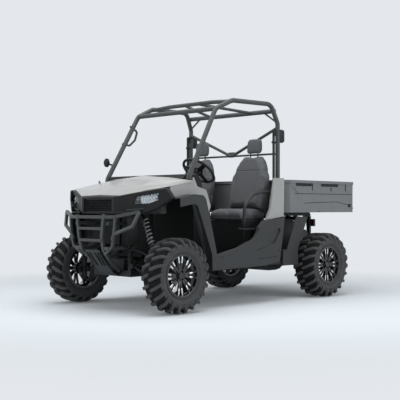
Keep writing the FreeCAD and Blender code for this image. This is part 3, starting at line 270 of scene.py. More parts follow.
SLOT_FINISH: dict[str, Finish] = {
    "tyre": TYRE_RUBBER,
    "rim": BLACK_ALLOY,
    "frame_steel": COATED_TUBE,
    "under_steel": COATED_CHASSIS,
    "spring_steel": SPRING_STEEL,
    "body_plastic": SILVER_PANEL,
    "dark_plastic": DARK_PANEL,
    "black_plastic": BLACK_PANEL_AND_SHADE,
    "bed_plastic": BED_PANEL,
    "seat_cover": SEAT_VINYL,
    "webbing": BELT_WEBBING,
    "lens": CLEAR_LENS,
    "red_lens": RED_LENS,
    "castings": CAST_ALUMINIUM,
}


@dataclass
class Studio:
    """The pale studio round the vehicle: its floor, its lights and the camera at the photograph's place.

    Lengths are metres and angles degrees. A box is its name, its place, its width and its power in watts.
    """

    backdrop: str = "#E4E8EC"
    paper: str = "#ECF4FA"
    fill: float = 0.34
    boxes: tuple[tuple[str, Triple, float, float], ...] = (
        ("top_box", (0.3, -0.6, 4.6), 4.5, 165.0),
        ("front_box", (-2.2, -5.5, 3.0), 3.0, 62.0),
        ("side_box", (5.4, 1.6, 2.4), 3.0, 72.0),
    )
    aim_height: float = 0.8
    floor_size: float = 60.0
    lens: float = 77.4
    sensor: float = 36.0
    camera_place: Triple = (6.080, -6.318, 0.918)
    camera_yaw: float = 44.513
    camera_pitch: float = 0.527
    clear_radius: float = 2.2
    fade_radius: float = 4.6
    least_fade: float = 0.08

    def build(self) -> None:
        """Makes the camera, the lights, the world and the floor."""
        self.set_camera()
        self.set_world()
        self.set_lights()
        self.lay_floor()
        bpy.context.scene.view_settings.view_transform = "Standard"

    def set_camera(self) -> None:
        """Stands the camera where the photograph was taken from."""
        lens = bpy.data.cameras.new("camera")
        lens.lens, lens.sensor_width = self.lens, self.sensor
        lens.clip_end = 200.0
        camera = bpy.data.objects.new("camera", lens)
        camera.location = self.camera_place
        turn = (90 + self.camera_pitch, 0, self.camera_yaw)
        camera.rotation_euler = [math.radians(angle) for angle in turn]
        bpy.context.scene.collection.objects.link(camera)
        bpy.context.scene.camera = camera

    def shown_rays(self, tree: Tree) -> Socket:
        """Picks out the rays that should see the backdrop itself.

        Args:
            tree: The floor's or the world's tree.

        Returns:
            A socket that is one for those rays and nought for the rest.
        """
        rays = add_node(tree, "ShaderNodeLightPath").outputs
        shown = rays["Is Camera Ray"]
        for kind in ("Is Glossy Ray", "Is Transmission Ray"):
            links = {0: shown, 1: rays[kind]}
            shown = add_node(tree, "ShaderNodeMath", {"operation": "MAXIMUM"}, links).outputs[0]
        return shown

    def mixed(self, tree: Tree, share: Socket, near: Node, far: Node, end: str) -> None:
        """Mixes two shaders and leads them to the output.

        Args:
            tree: The floor's or the world's tree.
            share: How much of the second shader shows.
            near: The first shader.
            far: The second shader.
            end: The output node's type.
        """
        links = {0: share, 1: near.outputs[0], 2: far.outputs[0]}
        mix = add_node(tree, "ShaderNodeMixShader", None, links)
        add_node(tree, end, None, {"Surface": mix.outputs[0]})

    def set_world(self) -> None:
        """Fills the shadows softly and shows the backdrop's colour."""
        world = bpy.data.worlds.new("studio")
        bpy.context.scene.world = world
        world.use_nodes = True
        tree = world.node_tree
        tree.nodes.clear()
        white, pale = linear("#FFFFFF"), linear(self.backdrop)
        fill = add_node(tree, "ShaderNodeBackground", {"Color": white, "Strength": self.fill})
        shown = add_node(tree, "ShaderNodeBackground", {"Color": pale, "Strength": 1.0})
        self.mixed(tree, self.shown_rays(tree), fill, shown, "ShaderNodeOutputWorld")

    def set_lights(self) -> None:
        """Hangs three large soft boxes: overhead, ahead and along the driver's side."""
        for name, place, size, power in self.boxes:
            lamp = bpy.data.lights.new(name, "AREA")
            lamp.size, lamp.energy = size, power
            holder = bpy.data.objects.new(name, lamp)
            holder.location = place
            aim = Vector((0, 0, self.aim_height)) - Vector(place)
            holder.rotation_euler = aim.to_track_quat("-Z", "Y").to_euler()
            bpy.context.scene.collection.objects.link(holder)

    def lay_floor(self) -> None:
        """Lays a pale floor that keeps the vehicle's shadow and fades into the backdrop further out."""
        mesh = bmesh.new()
        bmesh.ops.create_grid(mesh, x_segments=1, y_segments=1, size=self.floor_size / 2)
        floor = link_mesh("floor", mesh)
        made = bpy.data.materials.new("studio_floor")
        made.use_nodes = True
        tree = made.node_tree
        tree.nodes.clear()
        place = add_node(tree, "ShaderNodeTexCoord").outputs["Object"]
        reach = add_node(tree, "ShaderNodeVectorMath", {"operation": "LENGTH"}, {0: place})
        stops = {"From Min": self.clear_radius, "From Max": self.fade_radius, "To Min": self.least_fade}
        stops["interpolation_type"] = "SMOOTHSTEP"
        fade = add_node(tree, "ShaderNodeMapRange", stops, {"Value": reach.outputs["Value"]})
        links = {0: fade.outputs["Result"], 1: self.shown_rays(tree)}
        shown = add_node(tree, "ShaderNodeMath", {"operation": "MULTIPLY"}, links)
        matt = {"Base Color": linear(self.paper), "Roughness": 0.8, "Specular IOR Level": 0.0}
        paper = add_node(tree, "ShaderNodeBsdfPrincipled", matt)
        light = add_node(tree, "ShaderNodeEmission", {"Color": linear(self.backdrop), "Strength": 1.0})
        self.mixed(tree, shown.outputs[0], paper, light, "ShaderNodeOutputMaterial")
        floor.data.materials.append(made)


def link_mesh(name: str, mesh: Mesh) -> Piece:
    """Turns a bmesh to an object at the origin and frees it.

    Args:
        name: The object's name.
        mesh: The finished bmesh.

    Returns:
        The linked object.
    """
    data = bpy.data.meshes.new(name)
    mesh.to_mesh(data)
    mesh.free()
    piece = bpy.data.objects.new(name, data)
    bpy.context.scene.collection.objects.link(piece)
    return piece


def axle_frame(x: float, y: float, z: float) -> Vector:
    """Turns millimetres measured from the middle of the wheelbase to metres in the vehicle's frame."""
    return Vector((x, y - 80.0, z)) * MM


def edges_of(corners: Iterable[bmesh.types.BMVert]) -> list[bmesh.types.BMEdge]:
    """The edges that meet any of some corners."""
    return list({line for corner in corners for line in corner.link_edges})


def moved_corners(made: list[Any]) -> list[bmesh.types.BMVert]:
    """The corners among what an extrusion or a spin gives back."""
    return [item for item in made if isinstance(item, bmesh.types.BMVert)]


def add_box(mesh: Mesh, low: Vector, high: Vector, edge: float = 0.0) -> None:
    """Adds a box with softened edges.

    Args:
        mesh: The bmesh that takes it.
        low: Lowest corner.
        high: Highest corner.
        edge: Width of the softened edges in metres.
    """
    size = high - low
    place = Matrix.Translation((low + high) / 2) @ Matrix.Diagonal((*size, 1.0))
    made = bmesh.ops.create_cube(mesh, size=1.0, matrix=place)["verts"]
    if edge:
        soften(mesh, edges_of(made), edge)


def soften(mesh: Mesh, edges: Iterable[bmesh.types.BMEdge], width: float, cuts: int = 2) -> None:
    """Rounds edges over.

    Args:
        mesh: The bmesh that holds them.
        edges: The edges.
        width: How far each is cut back, in metres.
        cuts: Number of segments across.
    """
    bmesh.ops.bevel(
        mesh,
        geom=list(edges),
        offset=width,
        offset_type="OFFSET",
        affect="EDGES",
        segments=cuts,
        profile=0.5,
        material=-1,
        clamp_overlap=True,
    )


def add_side_box(mesh: Mesh, side: int, near: Triple, far: Triple, edge: float = 0.0) -> None:
    """Adds a box from its inner and outer ends, in millimetres from the middle of the wheelbase."""
    ends = sorted((side * near[0], side * far[0]))
    add_box(mesh, axle_frame(ends[0], *near[1:]), axle_frame(ends[1], *far[1:]), edge)


def add_slab(mesh: Mesh, outline: list[Vector], run: Vector, edge: float = 0.0) -> None:
    """Adds a flat outline carried straight along a run.

    Args:
        mesh: The bmesh that takes it.
        outline: The corners in order.
        run: The way and the distance.
        edge: Width of the softened edges in metres.
    """
    face = mesh.faces.new([mesh.verts.new(corner) for corner in outline])
    made = bmesh.ops.extrude_face_region(mesh, geom=[face], use_keep_orig=True)["geom"]
    moved = moved_corners(made)
    bmesh.ops.translate(mesh, verts=moved, vec=run)
    faces = list({side for corner in [*face.verts, *moved] for side in corner.link_faces})
    bmesh.ops.recalc_face_normals(mesh, faces=faces)
    if edge:
        soften(mesh, {line for side in faces for line in side.edges}, edge)


def add_turning(mesh: Mesh, section: list[Pair], steps: int) -> None:
    """Turns a closed section of (across, radius) corners round the X axis.

    Args:
        mesh: The bmesh that takes it.
        section: The corners in order, in metres.
        steps: Number of steps in the full turn.
    """
    corners = [mesh.verts.new((across, 0.0, radius)) for across, radius in section]
    lines = [mesh.edges.new((corner, corners[index - 1])) for index, corner in enumerate(corners)]
    bmesh.ops.spin(
        mesh,
        geom=[*corners, *lines],
        cent=(0, 0, 0),
        axis=(1, 0, 0),
        dvec=(0, 0, 0),
        angle=2 * math.pi,
        steps=steps,
        use_merge=True,
    )
    bmesh.ops.remove_doubles(mesh, verts=mesh.verts, dist=1e-6)
    bmesh.ops.recalc_face_normals(mesh, faces=mesh.faces)


def add_sweep(
    mesh: Mesh, radius: float, wire: float, sides: int, steps: int, turns: int = 1, ends: Pair = (0.0, 0.0)
) -> None:
    """Sweeps a round wire about Z, to a shut ring or, where it rises, to a coil with closed ends.

    Args:
        mesh: The bmesh that takes it, empty before.
        radius: Radius of the wire's centre line in metres.
        wire: Radius of the wire.
        sides: Number of flats round the wire.
        steps: Number of steps in the whole sweep.
        turns: How often it goes round.
        ends: The heights of its lower and its upper end.
    """
    low, high = ends
    place = Matrix.Translation((radius, 0, low)) @ Matrix.Rotation(math.pi / 2, 4, "X")
    ring = bmesh.ops.create_circle(mesh, segments=sides, radius=wire, matrix=place)["verts"]
    last = bmesh.ops.spin(
        mesh,
        geom=[*ring, *edges_of(ring)],
        cent=(0, 0, 0),
        axis=(0, 0, 1),
        dvec=(0, 0, (high - low) / steps),
        angle=2 * math.pi * turns,
        steps=steps,
        use_merge=low == high,
    )["geom_last"]
    if low == high:
        bmesh.ops.remove_doubles(mesh, verts=mesh.verts, dist=1e-6)
    else:
        mesh.faces.new(ring)
        mesh.faces.new(moved_corners(last))
    bmesh.ops.recalc_face_normals(mesh, faces=mesh.faces)


def add_rod(mesh: Mesh, start: Vector, end: Vector, radius: float, sides: int = 24) -> None:
    """Adds a straight round bar between two points, its ends closed.

    Args:
        mesh: The bmesh that takes it.
        start: One end.
        end: The other end.
        radius: Its radius in metres.
        sides: Number of flats round it.
    """
    run = end - start
    place = Matrix.Translation((start + end) / 2) @ run.to_track_quat("Z", "Y").to_matrix().to_4x4()
    bmesh.ops.create_cone(
        mesh, cap_ends=True, segments=sides, radius1=radius, radius2=radius, depth=run.length, matrix=place
    )


def bent_route(points: list[Vector], bend: float, steps: int = 6) -> list[Vector]:
    """Rounds the corners of a bent tube's centre line.

    Args:
        points: The ends and corners of the tube.
        bend: Radius of the bends in metres.
        steps: Number of steps in each bend.

    Returns:
        The centre line's points.
    """
    route = [points[0]]
    for before, corner, after in zip(points, points[1:], points[2:]):
        inward, outward = (before - corner).normalized(), (after - corner).normalized()
        half = inward.angle(outward) / 2
        centre = corner + (inward + outward).normalized() * (bend / math.sin(half))
        first = corner + inward * (bend / math.tan(half)) - centre
        last = corner + outward * (bend / math.tan(half)) - centre
        turn = first.rotation_difference(last)
        for step in range(steps + 1):
            route.append(centre + Quaternion().slerp(turn, step / steps) @ first)
    return [*route, points[-1]]


def add_tube(mesh: Mesh, route: list[Vector], radius: float, sides: int = 16) -> None:
    """Adds a round tube along a centre line, its ends closed.

    Args:
        mesh: The bmesh that takes it.
        route: The centre line's points.
        radius: The tube's radius in metres.
        sides: Number of flats round it.
    """
    rings: list[list[bmesh.types.BMVert]] = []
    turn = (route[1] - route[0]).to_track_quat("Z", "Y")
    heading = (route[1] - route[0]).normalized()
    for index, point in enumerate(route):
        before = (point - route[index - 1]).normalized() if index else heading
        after = (route[index + 1] - point).normalized() if index + 1 < len(route) else before
        way = (before + after).normalized()
        turn = heading.rotation_difference(way) @ turn
        heading = way
        place = Matrix.Translation(point) @ turn.to_matrix().to_4x4()
        rings.append(bmesh.ops.create_circle(mesh, segments=sides, radius=radius, matrix=place)["verts"])
    for near, far in zip(rings, rings[1:]):
        lines = edges_of((*near, *far))
        near_set, far_set = set(near), set(far)
        kept = [line for line in lines if set(line.verts) <= near_set or set(line.verts) <= far_set]
        bmesh.ops.bridge_loops(mesh, edges=kept)
    for ring in (rings[0], rings[-1]):
        mesh.faces.new(ring)
    bmesh.ops.recalc_face_normals(mesh, faces=mesh.faces)


def finished(
    name: str,
    mesh: Mesh,
    finish: Finish,
    body: str,
    replaces: tuple[str, ...] = (),
    crease: float = 35.0,
    flat_from: float = 10.0,
) -> Piece:
    """Turns a bmesh to a piece that has its finish and rides on its body.

    Args:
        name: The piece's name.
        mesh: The finished bmesh.
        finish: Its finish.
        body: The CAD body that it rides on.
        replaces: CAD nodes that it stands for.
        crease: Edges that bend by more than this many degrees stay sharp.
        flat_from: Faces of this many square metres and more are shaded flat.

    Returns:
        The piece.
    """
    for face in mesh.faces:
        face.smooth = face.calc_area() < flat_from
    for line in mesh.edges:
        line.smooth = line.is_manifold and line.calc_face_angle(0.0) < math.radians(crease)
    piece = link_mesh(name, mesh)
    piece.data.materials.append(finish.material())
    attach(piece, body)
    if replaces:
        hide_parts(*replaces)
    LOG.info("made %s: %d faces", name, len(piece.data.polygons))
    return piece


def mirrored_copy(mesh: Mesh) -> Mesh:
    """Copies a bmesh to the other side of the vehicle.

    Args:
        mesh: One side's form.

    Returns:
        The other side's form, with its faces outwards.
    """
    other = mesh.copy()
    bmesh.ops.scale(other, verts=other.verts, vec=(-1, 1, 1))
    bmesh.ops.reverse_faces(other, faces=other.faces)
    return other


@dataclass
class Panel:
    """A body panel taken from its CAD node, with its moulded edges rounded over.

    Attributes:
        node: The CAD node.
        edge: Width of the rounded edges in metres.
        crease: Edges that bend by more than this many degrees are rounded.
        shortest: Edges shorter than this are left as they are.
        smooth: Edges that bend by more than this many degrees stay sharp to the eye.
        holed: Whether a level face runs right round an opening, so that its triangles can't become one face.
        finish: A finish of its own, in place of that of its slot.
    """

    node: str
    edge: float = 0.0025
    crease: float = 18.0
    shortest: float = 0.012
    smooth: float = 35.0
    holed: bool = False
    finish: Finish | None = None

    def build(self) -> Piece:
        """Makes the panel and hides its node.

        Returns:
            The panel's piece.
        """
        source = frame["nodes"][self.node]
        finish = self.finish or SLOT_FINISH[slot_of(self.node)]
        mesh = bmesh.new()
        mesh.from_mesh(source.data)
        bmesh.ops.remove_doubles(mesh, verts=mesh.verts, dist=2e-5)
        if self.holed:
            bmesh.ops.join_triangles(
                mesh, faces=mesh.faces, angle_face_threshold=0.01, angle_shape_threshold=math.radians(60)
            )
        else:
            bmesh.ops.dissolve_limit(mesh, angle_limit=0.007, verts=mesh.verts, edges=mesh.edges)
        sharp = [
            line
            for line in mesh.edges
            if line.is_manifold
            and line.calc_face_angle(0.0) > math.radians(self.crease)
            and line.calc_length() > self.shortest
        ]
        soften(mesh, sharp, self.edge)
        return finished(
            f"{self.node}_dressed", mesh, finish, body_of(self.node), (self.node,), self.smooth, 0.006
        )


def slot_of(node: str) -> str:
    """The record's material slot of a CAD node."""
    return next(part["material_slot"] for part in frame["record"]["subparts"] if part["node"] == node)


def body_of(node: str) -> str:
    """The CAD body that carries a node."""
    bodies = frame["record"]["behaviour"]["bodies"]
    return next(name for name, nodes in bodies.items() if node in nodes)


def absorb(mesh: Mesh, other: Mesh) -> None:
    """Adds another bmesh to one, and frees the other.

    Args:
        mesh: The bmesh that grows.
        other: The bmesh that is used up.
    """
    kept = bpy.data.meshes.new("kept")
    other.to_mesh(kept)
    other.free()
    mesh.from_mesh(kept)
    bpy.data.meshes.remove(kept)


@dataclass
class Tyre:
    """An off-road tyre with curved chevron lugs that wrap on to its shoulders. Metres, turning about X.

    A ring on the side wall is its radius, its width and how far it lies in from the tyre's full width.
    """

    width: float
    rim_width: float
    radius: float = 0.330
    lug_height: float = 0.023
    lug_count: int = 22
    lug_wide: float = 0.033
    sweep: float = 0.070
    seat: float = 0.1804
    wall_inset: float = 0.007
    steps: int = 96
    rings: tuple[Triple, ...] = ((0.243, 0.0022, 0.0068), (0.214, 0.0016, 0.019))

    def shoulder(self) -> list[Pair]:
        """The tread's outline from its middle to the lower end of its lugs.

        Returns:
            Its corners as (across, radius).
        """
        half = self.width / 2 - self.wall_inset
        base = self.radius - self.lug_height
        return [
            (0.003, base),
            (half * 0.45, base - 0.0005),
            (half - 0.030, base - 0.003),
            (half - 0.012, base - 0.012),
            (half - 0.002, base - 0.028),
            (half, base - 0.050),
        ]

    def section(self) -> list[Pair]:
        """The carcass's closed section.

        Returns:
            Its corners as (across, radius).
        """
        half = self.width / 2 - self.wall_inset
        bead = self.rim_width / 2 - 0.0063
        outer = self.shoulder()[1:] + [
            (half + 0.001, 0.250),
            (half - 0.002, 0.236),
            (half - 0.008, 0.220),
            (bead + 0.006, 0.207),
            (bead, 0.200),
            (bead, self.seat),
        ]
        inner = [(bead - 0.022, self.seat), (half - 0.024, 0.250), (half - 0.040, 0.292)]
        side = outer + inner
        return side + [(-across, radius) for across, radius in reversed(side)]

    def on_tread(self, share: float) -> tuple[Vector, Vector]:
        """Finds a place on the tread's outline.

        Args:
            share: How far along the outline it is, from nought to one.

        Returns:
            The place and the way out from it, both as (across, radius).
        """
        line = [Vector(point) for point in self.shoulder()]
        runs = [(b - a).length for a, b in zip(line, line[1:])]
        left = share * sum(runs)
        for start, end, run in zip(line, line[1:], runs):
            if left <= run + 1e-9:
                along = (end - start).normalized()
                return start + along * left, Vector((-along.y, along.x))
            left -= run
        along = (line[-1] - line[-2]).normalized()
        return line[-1], Vector((-along.y, along.x))

    def add_lug(self, mesh: Mesh, side: int, turn: float) -> None:
        """Adds one lug, swept back from the middle of the tread over the shoulder.

        Args:
            mesh: The bmesh that takes it.
            side: One for the left shoulder, minus one for the right.
            turn: Where it starts round the tyre, in radians.
        """
        block = bmesh.new()
        bmesh.ops.create_cube(block, size=1.0)
        long = [line for line in block.edges if abs(line.verts[0].co.x - line.verts[1].co.x) > 0.5]
        bmesh.ops.subdivide_edges(block, edges=long, cuts=6, use_grid_fill=True)
        for corner in block.verts:
            share = corner.co.x + 0.5
            spot, out = self.on_tread(share)
            top = corner.co.z > 0
            rise = self.lug_height * (1 - 0.45 * max(share - 0.6, 0.0) / 0.4) if top else -0.003
            wide = self.lug_wide * (0.76 if top else 1.0) * (1 + 0.16 * share)
            place = spot + out * rise
            reach = side * (self.sweep * share**1.35 + corner.co.y * wide)
            angle = turn + reach / self.radius
            corner.co = (side * place.x, place.y * math.sin(angle), place.y * math.cos(angle))
        absorb(mesh, block)

    def build(self) -> Mesh:
        """Makes the tyre at the origin.

        Returns:
            The tyre, with the second material, painted groove shade, on the faces between its lugs.
        """
        mesh = bmesh.new()
        add_turning(mesh, self.section(), self.steps)
        # Faces down in the grooves take the second material, which paints their shade
        for face in mesh.faces:
            spot = face.calc_center_median()
            grooved = math.hypot(spot.y, spot.z) > self.radius - self.lug_height - 0.022
            face.material_index = int(grooved and face.normal.dot(Vector((0, spot.y, spot.z))) > 0)
        lugs = bmesh.new()
        for index in range(self.lug_count):
            for side in (-1, 1):
                turn = 2 * math.pi * (index + (0.25 if side > 0 else -0.25)) / self.lug_count
                self.add_lug(lugs, side, turn)
        bmesh.ops.recalc_face_normals(lugs, faces=lugs.faces)
        soften(lugs, [e for e in lugs.edges if e.calc_face_angle(0.0) > math.radians(40)], 0.002, 1)
        absorb(mesh, lugs)
        for radius, wide, inset in self.rings:
            self.add_ring(mesh, radius, wide, self.width / 2 - inset)
        return mesh

    def add_ring(self, mesh: Mesh, radius: float, wide: float, half: float) -> None:
        """Adds a fine raised ring round each side wall.

        Args:
            mesh: The bmesh that takes it.
            radius: The ring's radius.
            wide: Its width.
            half: How far from the tyre's middle it lies.
        """
        for side in (-1, 1):
            ring = bmesh.new()
            section = [
                (side * (half - 0.004), radius - wide),
                (side * (half + wide * 0.6), radius - wide / 2),
                (side * (half + wide * 0.6), radius + wide / 2),
                (side * (half - 0.004), radius + wide),
            ]
            add_turning(ring, section, self.steps)
            absorb(mesh, ring)


@dataclass
class Rim:
    """A drop-centre alloy rim: gloss black, with the outer halves of its split spokes machined bright."""

    width: float
    flange: float = 0.196
    seat: float = 0.180
    wall: float = 0.006
    disc_inset: float = 0.030
    disc_thick: float = 0.018
    hub: float = 0.058
    bore: float = 0.0206
    spokes: int = 8
    nuts: int = 4
    nut_circle: float = 0.047
    leg_foot: Pair = (0.007, 0.052)
    leg_tip: Pair = (0.025, 0.178)
    steps: int = 96

    def barrel(self) -> list[Pair]:
        """The barrel's closed section, with rolled flanges and a well between the seats.

        Returns:
            Its corners as (across, radius).
        """
        half = self.width / 2
        low = self.seat - self.wall
        return [
            (half, self.flange - 0.002),
            (half - 0.002, self.flange),
            (half - 0.0052, self.flange - 0.006),
            (half - 0.006, self.seat),
            (half - 0.032, self.seat - 0.001),
            (half - 0.050, self.seat - 0.016),
            (-half + 0.050, self.seat - 0.016),
            (-half + 0.032, self.seat - 0.001),
            (-half + 0.006, self.seat),
            (-half + 0.0052, self.flange - 0.006),
            (-half + 0.002, self.flange),
            (-half, self.flange - 0.002),
            (-half, low),
            (-half + 0.034, low - 0.002),
            (-half + 0.052, low - 0.017),
            (half - 0.052, low - 0.017),
            (half - 0.034, low - 0.002),
            (half - 0.001, low),
            (half, low + 0.003),
        ]

    def leg(self, side: int, start: float, end: float, wide: float) -> list[Pair]:
        """The outline of one leg of a split spoke.

        Args:
            side: Which of the spoke's two legs it is.
            start: Where the outline starts, as a share of the leg.
            end: Where it ends.
            wide: The leg's width.

        Returns:
            Its corners as (across the spoke, out from the axle).
        """
        inner, outer = (Vector((side * across, out)) for across, out in (self.leg_foot, self.leg_tip))
        low, high = inner.lerp(outer, start), inner.lerp(outer, end)
        way = Vector((outer - inner).normalized())
        cross = Vector((way.y, -way.x)) * wide / 2
        return [tuple(p) for p in (low - cross, low + cross, high + cross * 1.15, high - cross * 1.15)]

    def add_leg(self, mesh: Mesh, turn: float, outline: list[Pair], back: float, deep: float) -> None:
        """Adds one leg at its place round the wheel.

        Args:
            mesh: The bmesh that takes it.
            turn: The spoke's angle in radians.
            outline: The leg's outline.
            back: Where its inner face lies along the axle.
            deep: Its thickness.
        """
        spin = Matrix.Rotation(turn, 3, "X")
        corners = [spin @ Vector((back, across, out)) for across, out in outline]
        add_slab(mesh, corners, Vector((deep, 0, 0)), 0.0015)

    def build_black(self) -> Mesh:
        """Makes the barrel, the hub, the nuts and the black parts of the spokes.

        Returns:
            They all, at the origin with the outer side at +X.
        """
        mesh = bmesh.new()
        add_turning(mesh, self.barrel(), self.steps)
        face = self.width / 2 - self.disc_inset
        back = face - self.disc_thick
        for index in range(self.spokes):
            turn = 2 * math.pi * index / self.spokes
            for side in (-1, 1):
                self.add_leg(mesh, turn, self.leg(side, 0.0, 1.0, 0.019), back, self.disc_thick - 0.002)
        hub = bmesh.new()
        add_turning(
            hub,
            [
                (back - 0.060, self.bore),
                (back - 0.060, self.hub),
                (face - 0.010, self.hub),
                (face - 0.004, self.hub - 0.004),
                (face - 0.006, 0.040),
                (face - 0.006, 0.032),
                (face + 0.010, 0.030),
                (face + 0.014, 0.024),
                (face + 0.014, 0.004),
                (back + 0.004, 0.004),
                (back + 0.004, self.bore),
            ],
            48,
        )
        absorb(mesh, hub)
        cap = Vector((face + 0.0145, 0, 0))
        add_rod(mesh, cap - Vector((0.003, 0, 0)), cap, 0.0235, 32)
        for index in range(self.nuts):
            turn = Matrix.Rotation(2 * math.pi * (index + 0.5) / self.nuts, 3, "X")
            start = turn @ Vector((face - 0.008, 0, self.nut_circle))
            add_rod(mesh, start, start + Vector((0.018, 0, 0)), 0.0085, 6)
        return mesh

    def build_bright(self) -> Mesh:
        """Makes the machined faces of the spokes' outer halves.

        Returns:
            They all, at the origin with the outer side at +X.
        """
        mesh = bmesh.new()
        face = self.width / 2 - self.disc_inset
        for index in range(self.spokes):
            turn = 2 * math.pi * index / self.spokes
            for side in (-1, 1):
                self.add_leg(mesh, turn, self.leg(side, 0.46, 0.985, 0.0145), face - 0.003, 0.0045)
        return mesh


@dataclass
class Wheels:
    """The four wheels, each riding on its own body."""

    track_half: float = 0.685
    front_y: float = -1.130
    rear_y: float = 0.970
    height: float = 0.330
    front: Pair = (0.226, 0.178)
    rear: Pair = (0.260, 0.204)

    def build(self) -> None:
        """Makes the four tyres and rims."""
        ends = (("front", self.front, self.front_y), ("rear", self.rear, self.rear_y))
        for end, (width, rim_width), y in ends:
            rim = Rim(rim_width)
            pieces = [
                (f"tyre_{end}", Tyre(width, rim_width).build(), TYRE_RUBBER, "tyre", True),
                (f"rim_{end}", rim.build_black(), BLACK_ALLOY, "rim", True),
                (f"spoke_faces_{end}", rim.build_bright(), MACHINED_ALLOY, "rim", False),
            ]
            for name, mesh, finish, slot, stands in pieces:
                bmesh.ops.translate(mesh, verts=mesh.verts, vec=(self.track_half, y, self.height))
                for side, made in (("right", mirrored_copy(mesh)), ("left", mesh)):
                    nodes = (f"{name}_{side}",) if stands else ()
                    label = f"{name}_{side}_dressed"
                    piece = finished(label, made, finish, f"wheel_{end}_{side}", nodes, 30.0)
                    # The tyre's second material paints the shade between its lugs
                    if finish is TYRE_RUBBER:
                        piece.data.materials.append(GROOVE_SHADE_RUBBER.material())


def dress_nodes() -> None:
    """Gives every CAD node the finish of its slot in the record."""
    parts = frame["record"]["subparts"]
    slots = {part["node"]: part.get("material_slot") for part in parts}
    for name, piece in frame["nodes"].items():
        finish = SLOT_FINISH.get(slots.get(name), DARK_PANEL)
        piece.data.materials.clear()
        piece.data.materials.append(finish.material())
        LOG.info("dressed %s in %s", name, finish.name)


@dataclass
class Cage:
    """The roll cage's bent tubes, the hip hoops beside the seats and the passenger's grab handle.

    Points are millimetres from the middle of the wheelbase. A bar is its two ends and its radius in metres;
    the paired bars stand on both sides.
    """

    tube: float = 0.023
    bend: float = 0.090
    foot_height: float = 386.0
    feet: tuple[Pair, ...] = ((620, -560), (620, 418))
    tabs: Pair = (1000.0, 1150.0)
    side_line: tuple[Triple, ...] = (
        (620, -560, 386),
        (600, -655, 720),
        (575, -788, 1190),
        (545, -400, 1850),
        (560, -188, 1944),
        (595, 344, 1948),
        (612, 430, 1760),
        (620, 418, 386),
    )
    hip_line: tuple[Triple, ...] = (
        (560, -50, 735),
        (650, -125, 765),
        (650, -106, 940),
        (650, 0, 1045),
        (650, 150, 1076),
        (650, 315, 1066),
        (650, 342, 950),
        (650, 250, 790),
        (590, 205, 757),
    )
    handle_line: tuple[Triple, ...] = (
        (-550, -505, 1745),
        (-551, -411, 1695),
        (-553, -440, 1610),
        (-556, -510, 1550),
        (-560, -600, 1561),
    )

    bow: tuple[Triple, ...] = ((-556, -188, 1934), (-300, -188, 1948), (300, -188, 1948), (556, -188, 1934))
    bars: tuple[tuple[Triple, Triple, float], ...] = (
        ((-540, -400, 1850), (540, -400, 1850), 0.023),
        ((-592, 408, 1886), (592, 408, 1886), 0.023),
        ((-606, 418, 1458), (606, 418, 1458), 0.010),
    )
    paired_bars: tuple[tuple[Triple, Triple, float], ...] = (
        ((90, -188, 1948), (290, 408, 1886), 0.015),
        ((440, 408, 1886), (605, 418, 1774), 0.009),
        ((603, 418, 1711), (6, 418, 1458), 0.015),
    )
    plate: Triple = (0, 418, 1458)

    def points(self, line: Iterable[Triple], side: int = 1) -> list[Vector]:
        """Places a line's points on one side of the vehicle."""
        return [axle_frame(side * x, y, z) for x, y, z in line]

    def side(self) -> Mesh:
        """Makes the left side's tube with the weld seams at its feet and its two tabs.

        Returns:
            The left side.
        """
        mesh = bmesh.new()
        route = bent_route(self.points(self.side_line), self.bend, 8)
        add_tube(mesh, route, self.tube, 24)
        for x, y in self.feet:
            foot = axle_frame(x, y, self.foot_height)
            add_rod(mesh, foot, foot + Vector((0, 0, 0.006)), self.tube + 0.004)
        for z in self.tabs:
            add_box(mesh, axle_frame(628, 388, z - 12), axle_frame(647, 396, z + 12), 0.002)
        return mesh

    def cross(self) -> Mesh:
        """Makes the header, the bow over the cab, the roof's V, the gussets and the braces behind the seats.

        Returns:
            They all, in one bmesh.
        """
        mesh = bmesh.new()
        for side, bars in ((1, self.bars), (-1, self.paired_bars), (1, self.paired_bars)):
            for start, end, radius in bars:
                add_rod(mesh, *self.points((start, end), side), radius, 20)
        add_tube(mesh, bent_route(self.points(self.bow), 0.4, 4), self.tube - 0.003, 20)
        middle = axle_frame(*self.plate)
        add_box(mesh, middle - Vector((0.045, 0.004, 0.012)), middle + Vector((0.045, 0.004, 0.042)), 0.003)
        return mesh

    def build(self) -> None:
        """Makes the cage and the bars round the seats."""
        side = self.side()
        other = mirrored_copy(side)
        finished("cage_side_left", side, COATED_TUBE, "chassis", ("cage_left",), 50)
        finished("cage_side_right", other, COATED_TUBE, "chassis", ("cage_right",), 50)
        finished("cage_tubes", self.cross(), COATED_TUBE, "chassis", ("cage_cross",), 50)
        bars = bmesh.new()
        for sign in (-1, 1):
            add_tube(bars, bent_route(self.points(self.hip_line, sign), 0.075, 8), 0.0155, 18)
        finished("hip_hoops", bars, BLACK_TUBE, "chassis", ("restraint_bars",), 50)
        handle = bmesh.new()
        add_tube(handle, bent_route(self.points(self.handle_line), 0.028, 6), 0.011, 18)
        finished("grab_handle", handle, COATED_TUBE, "chassis", (), 50)


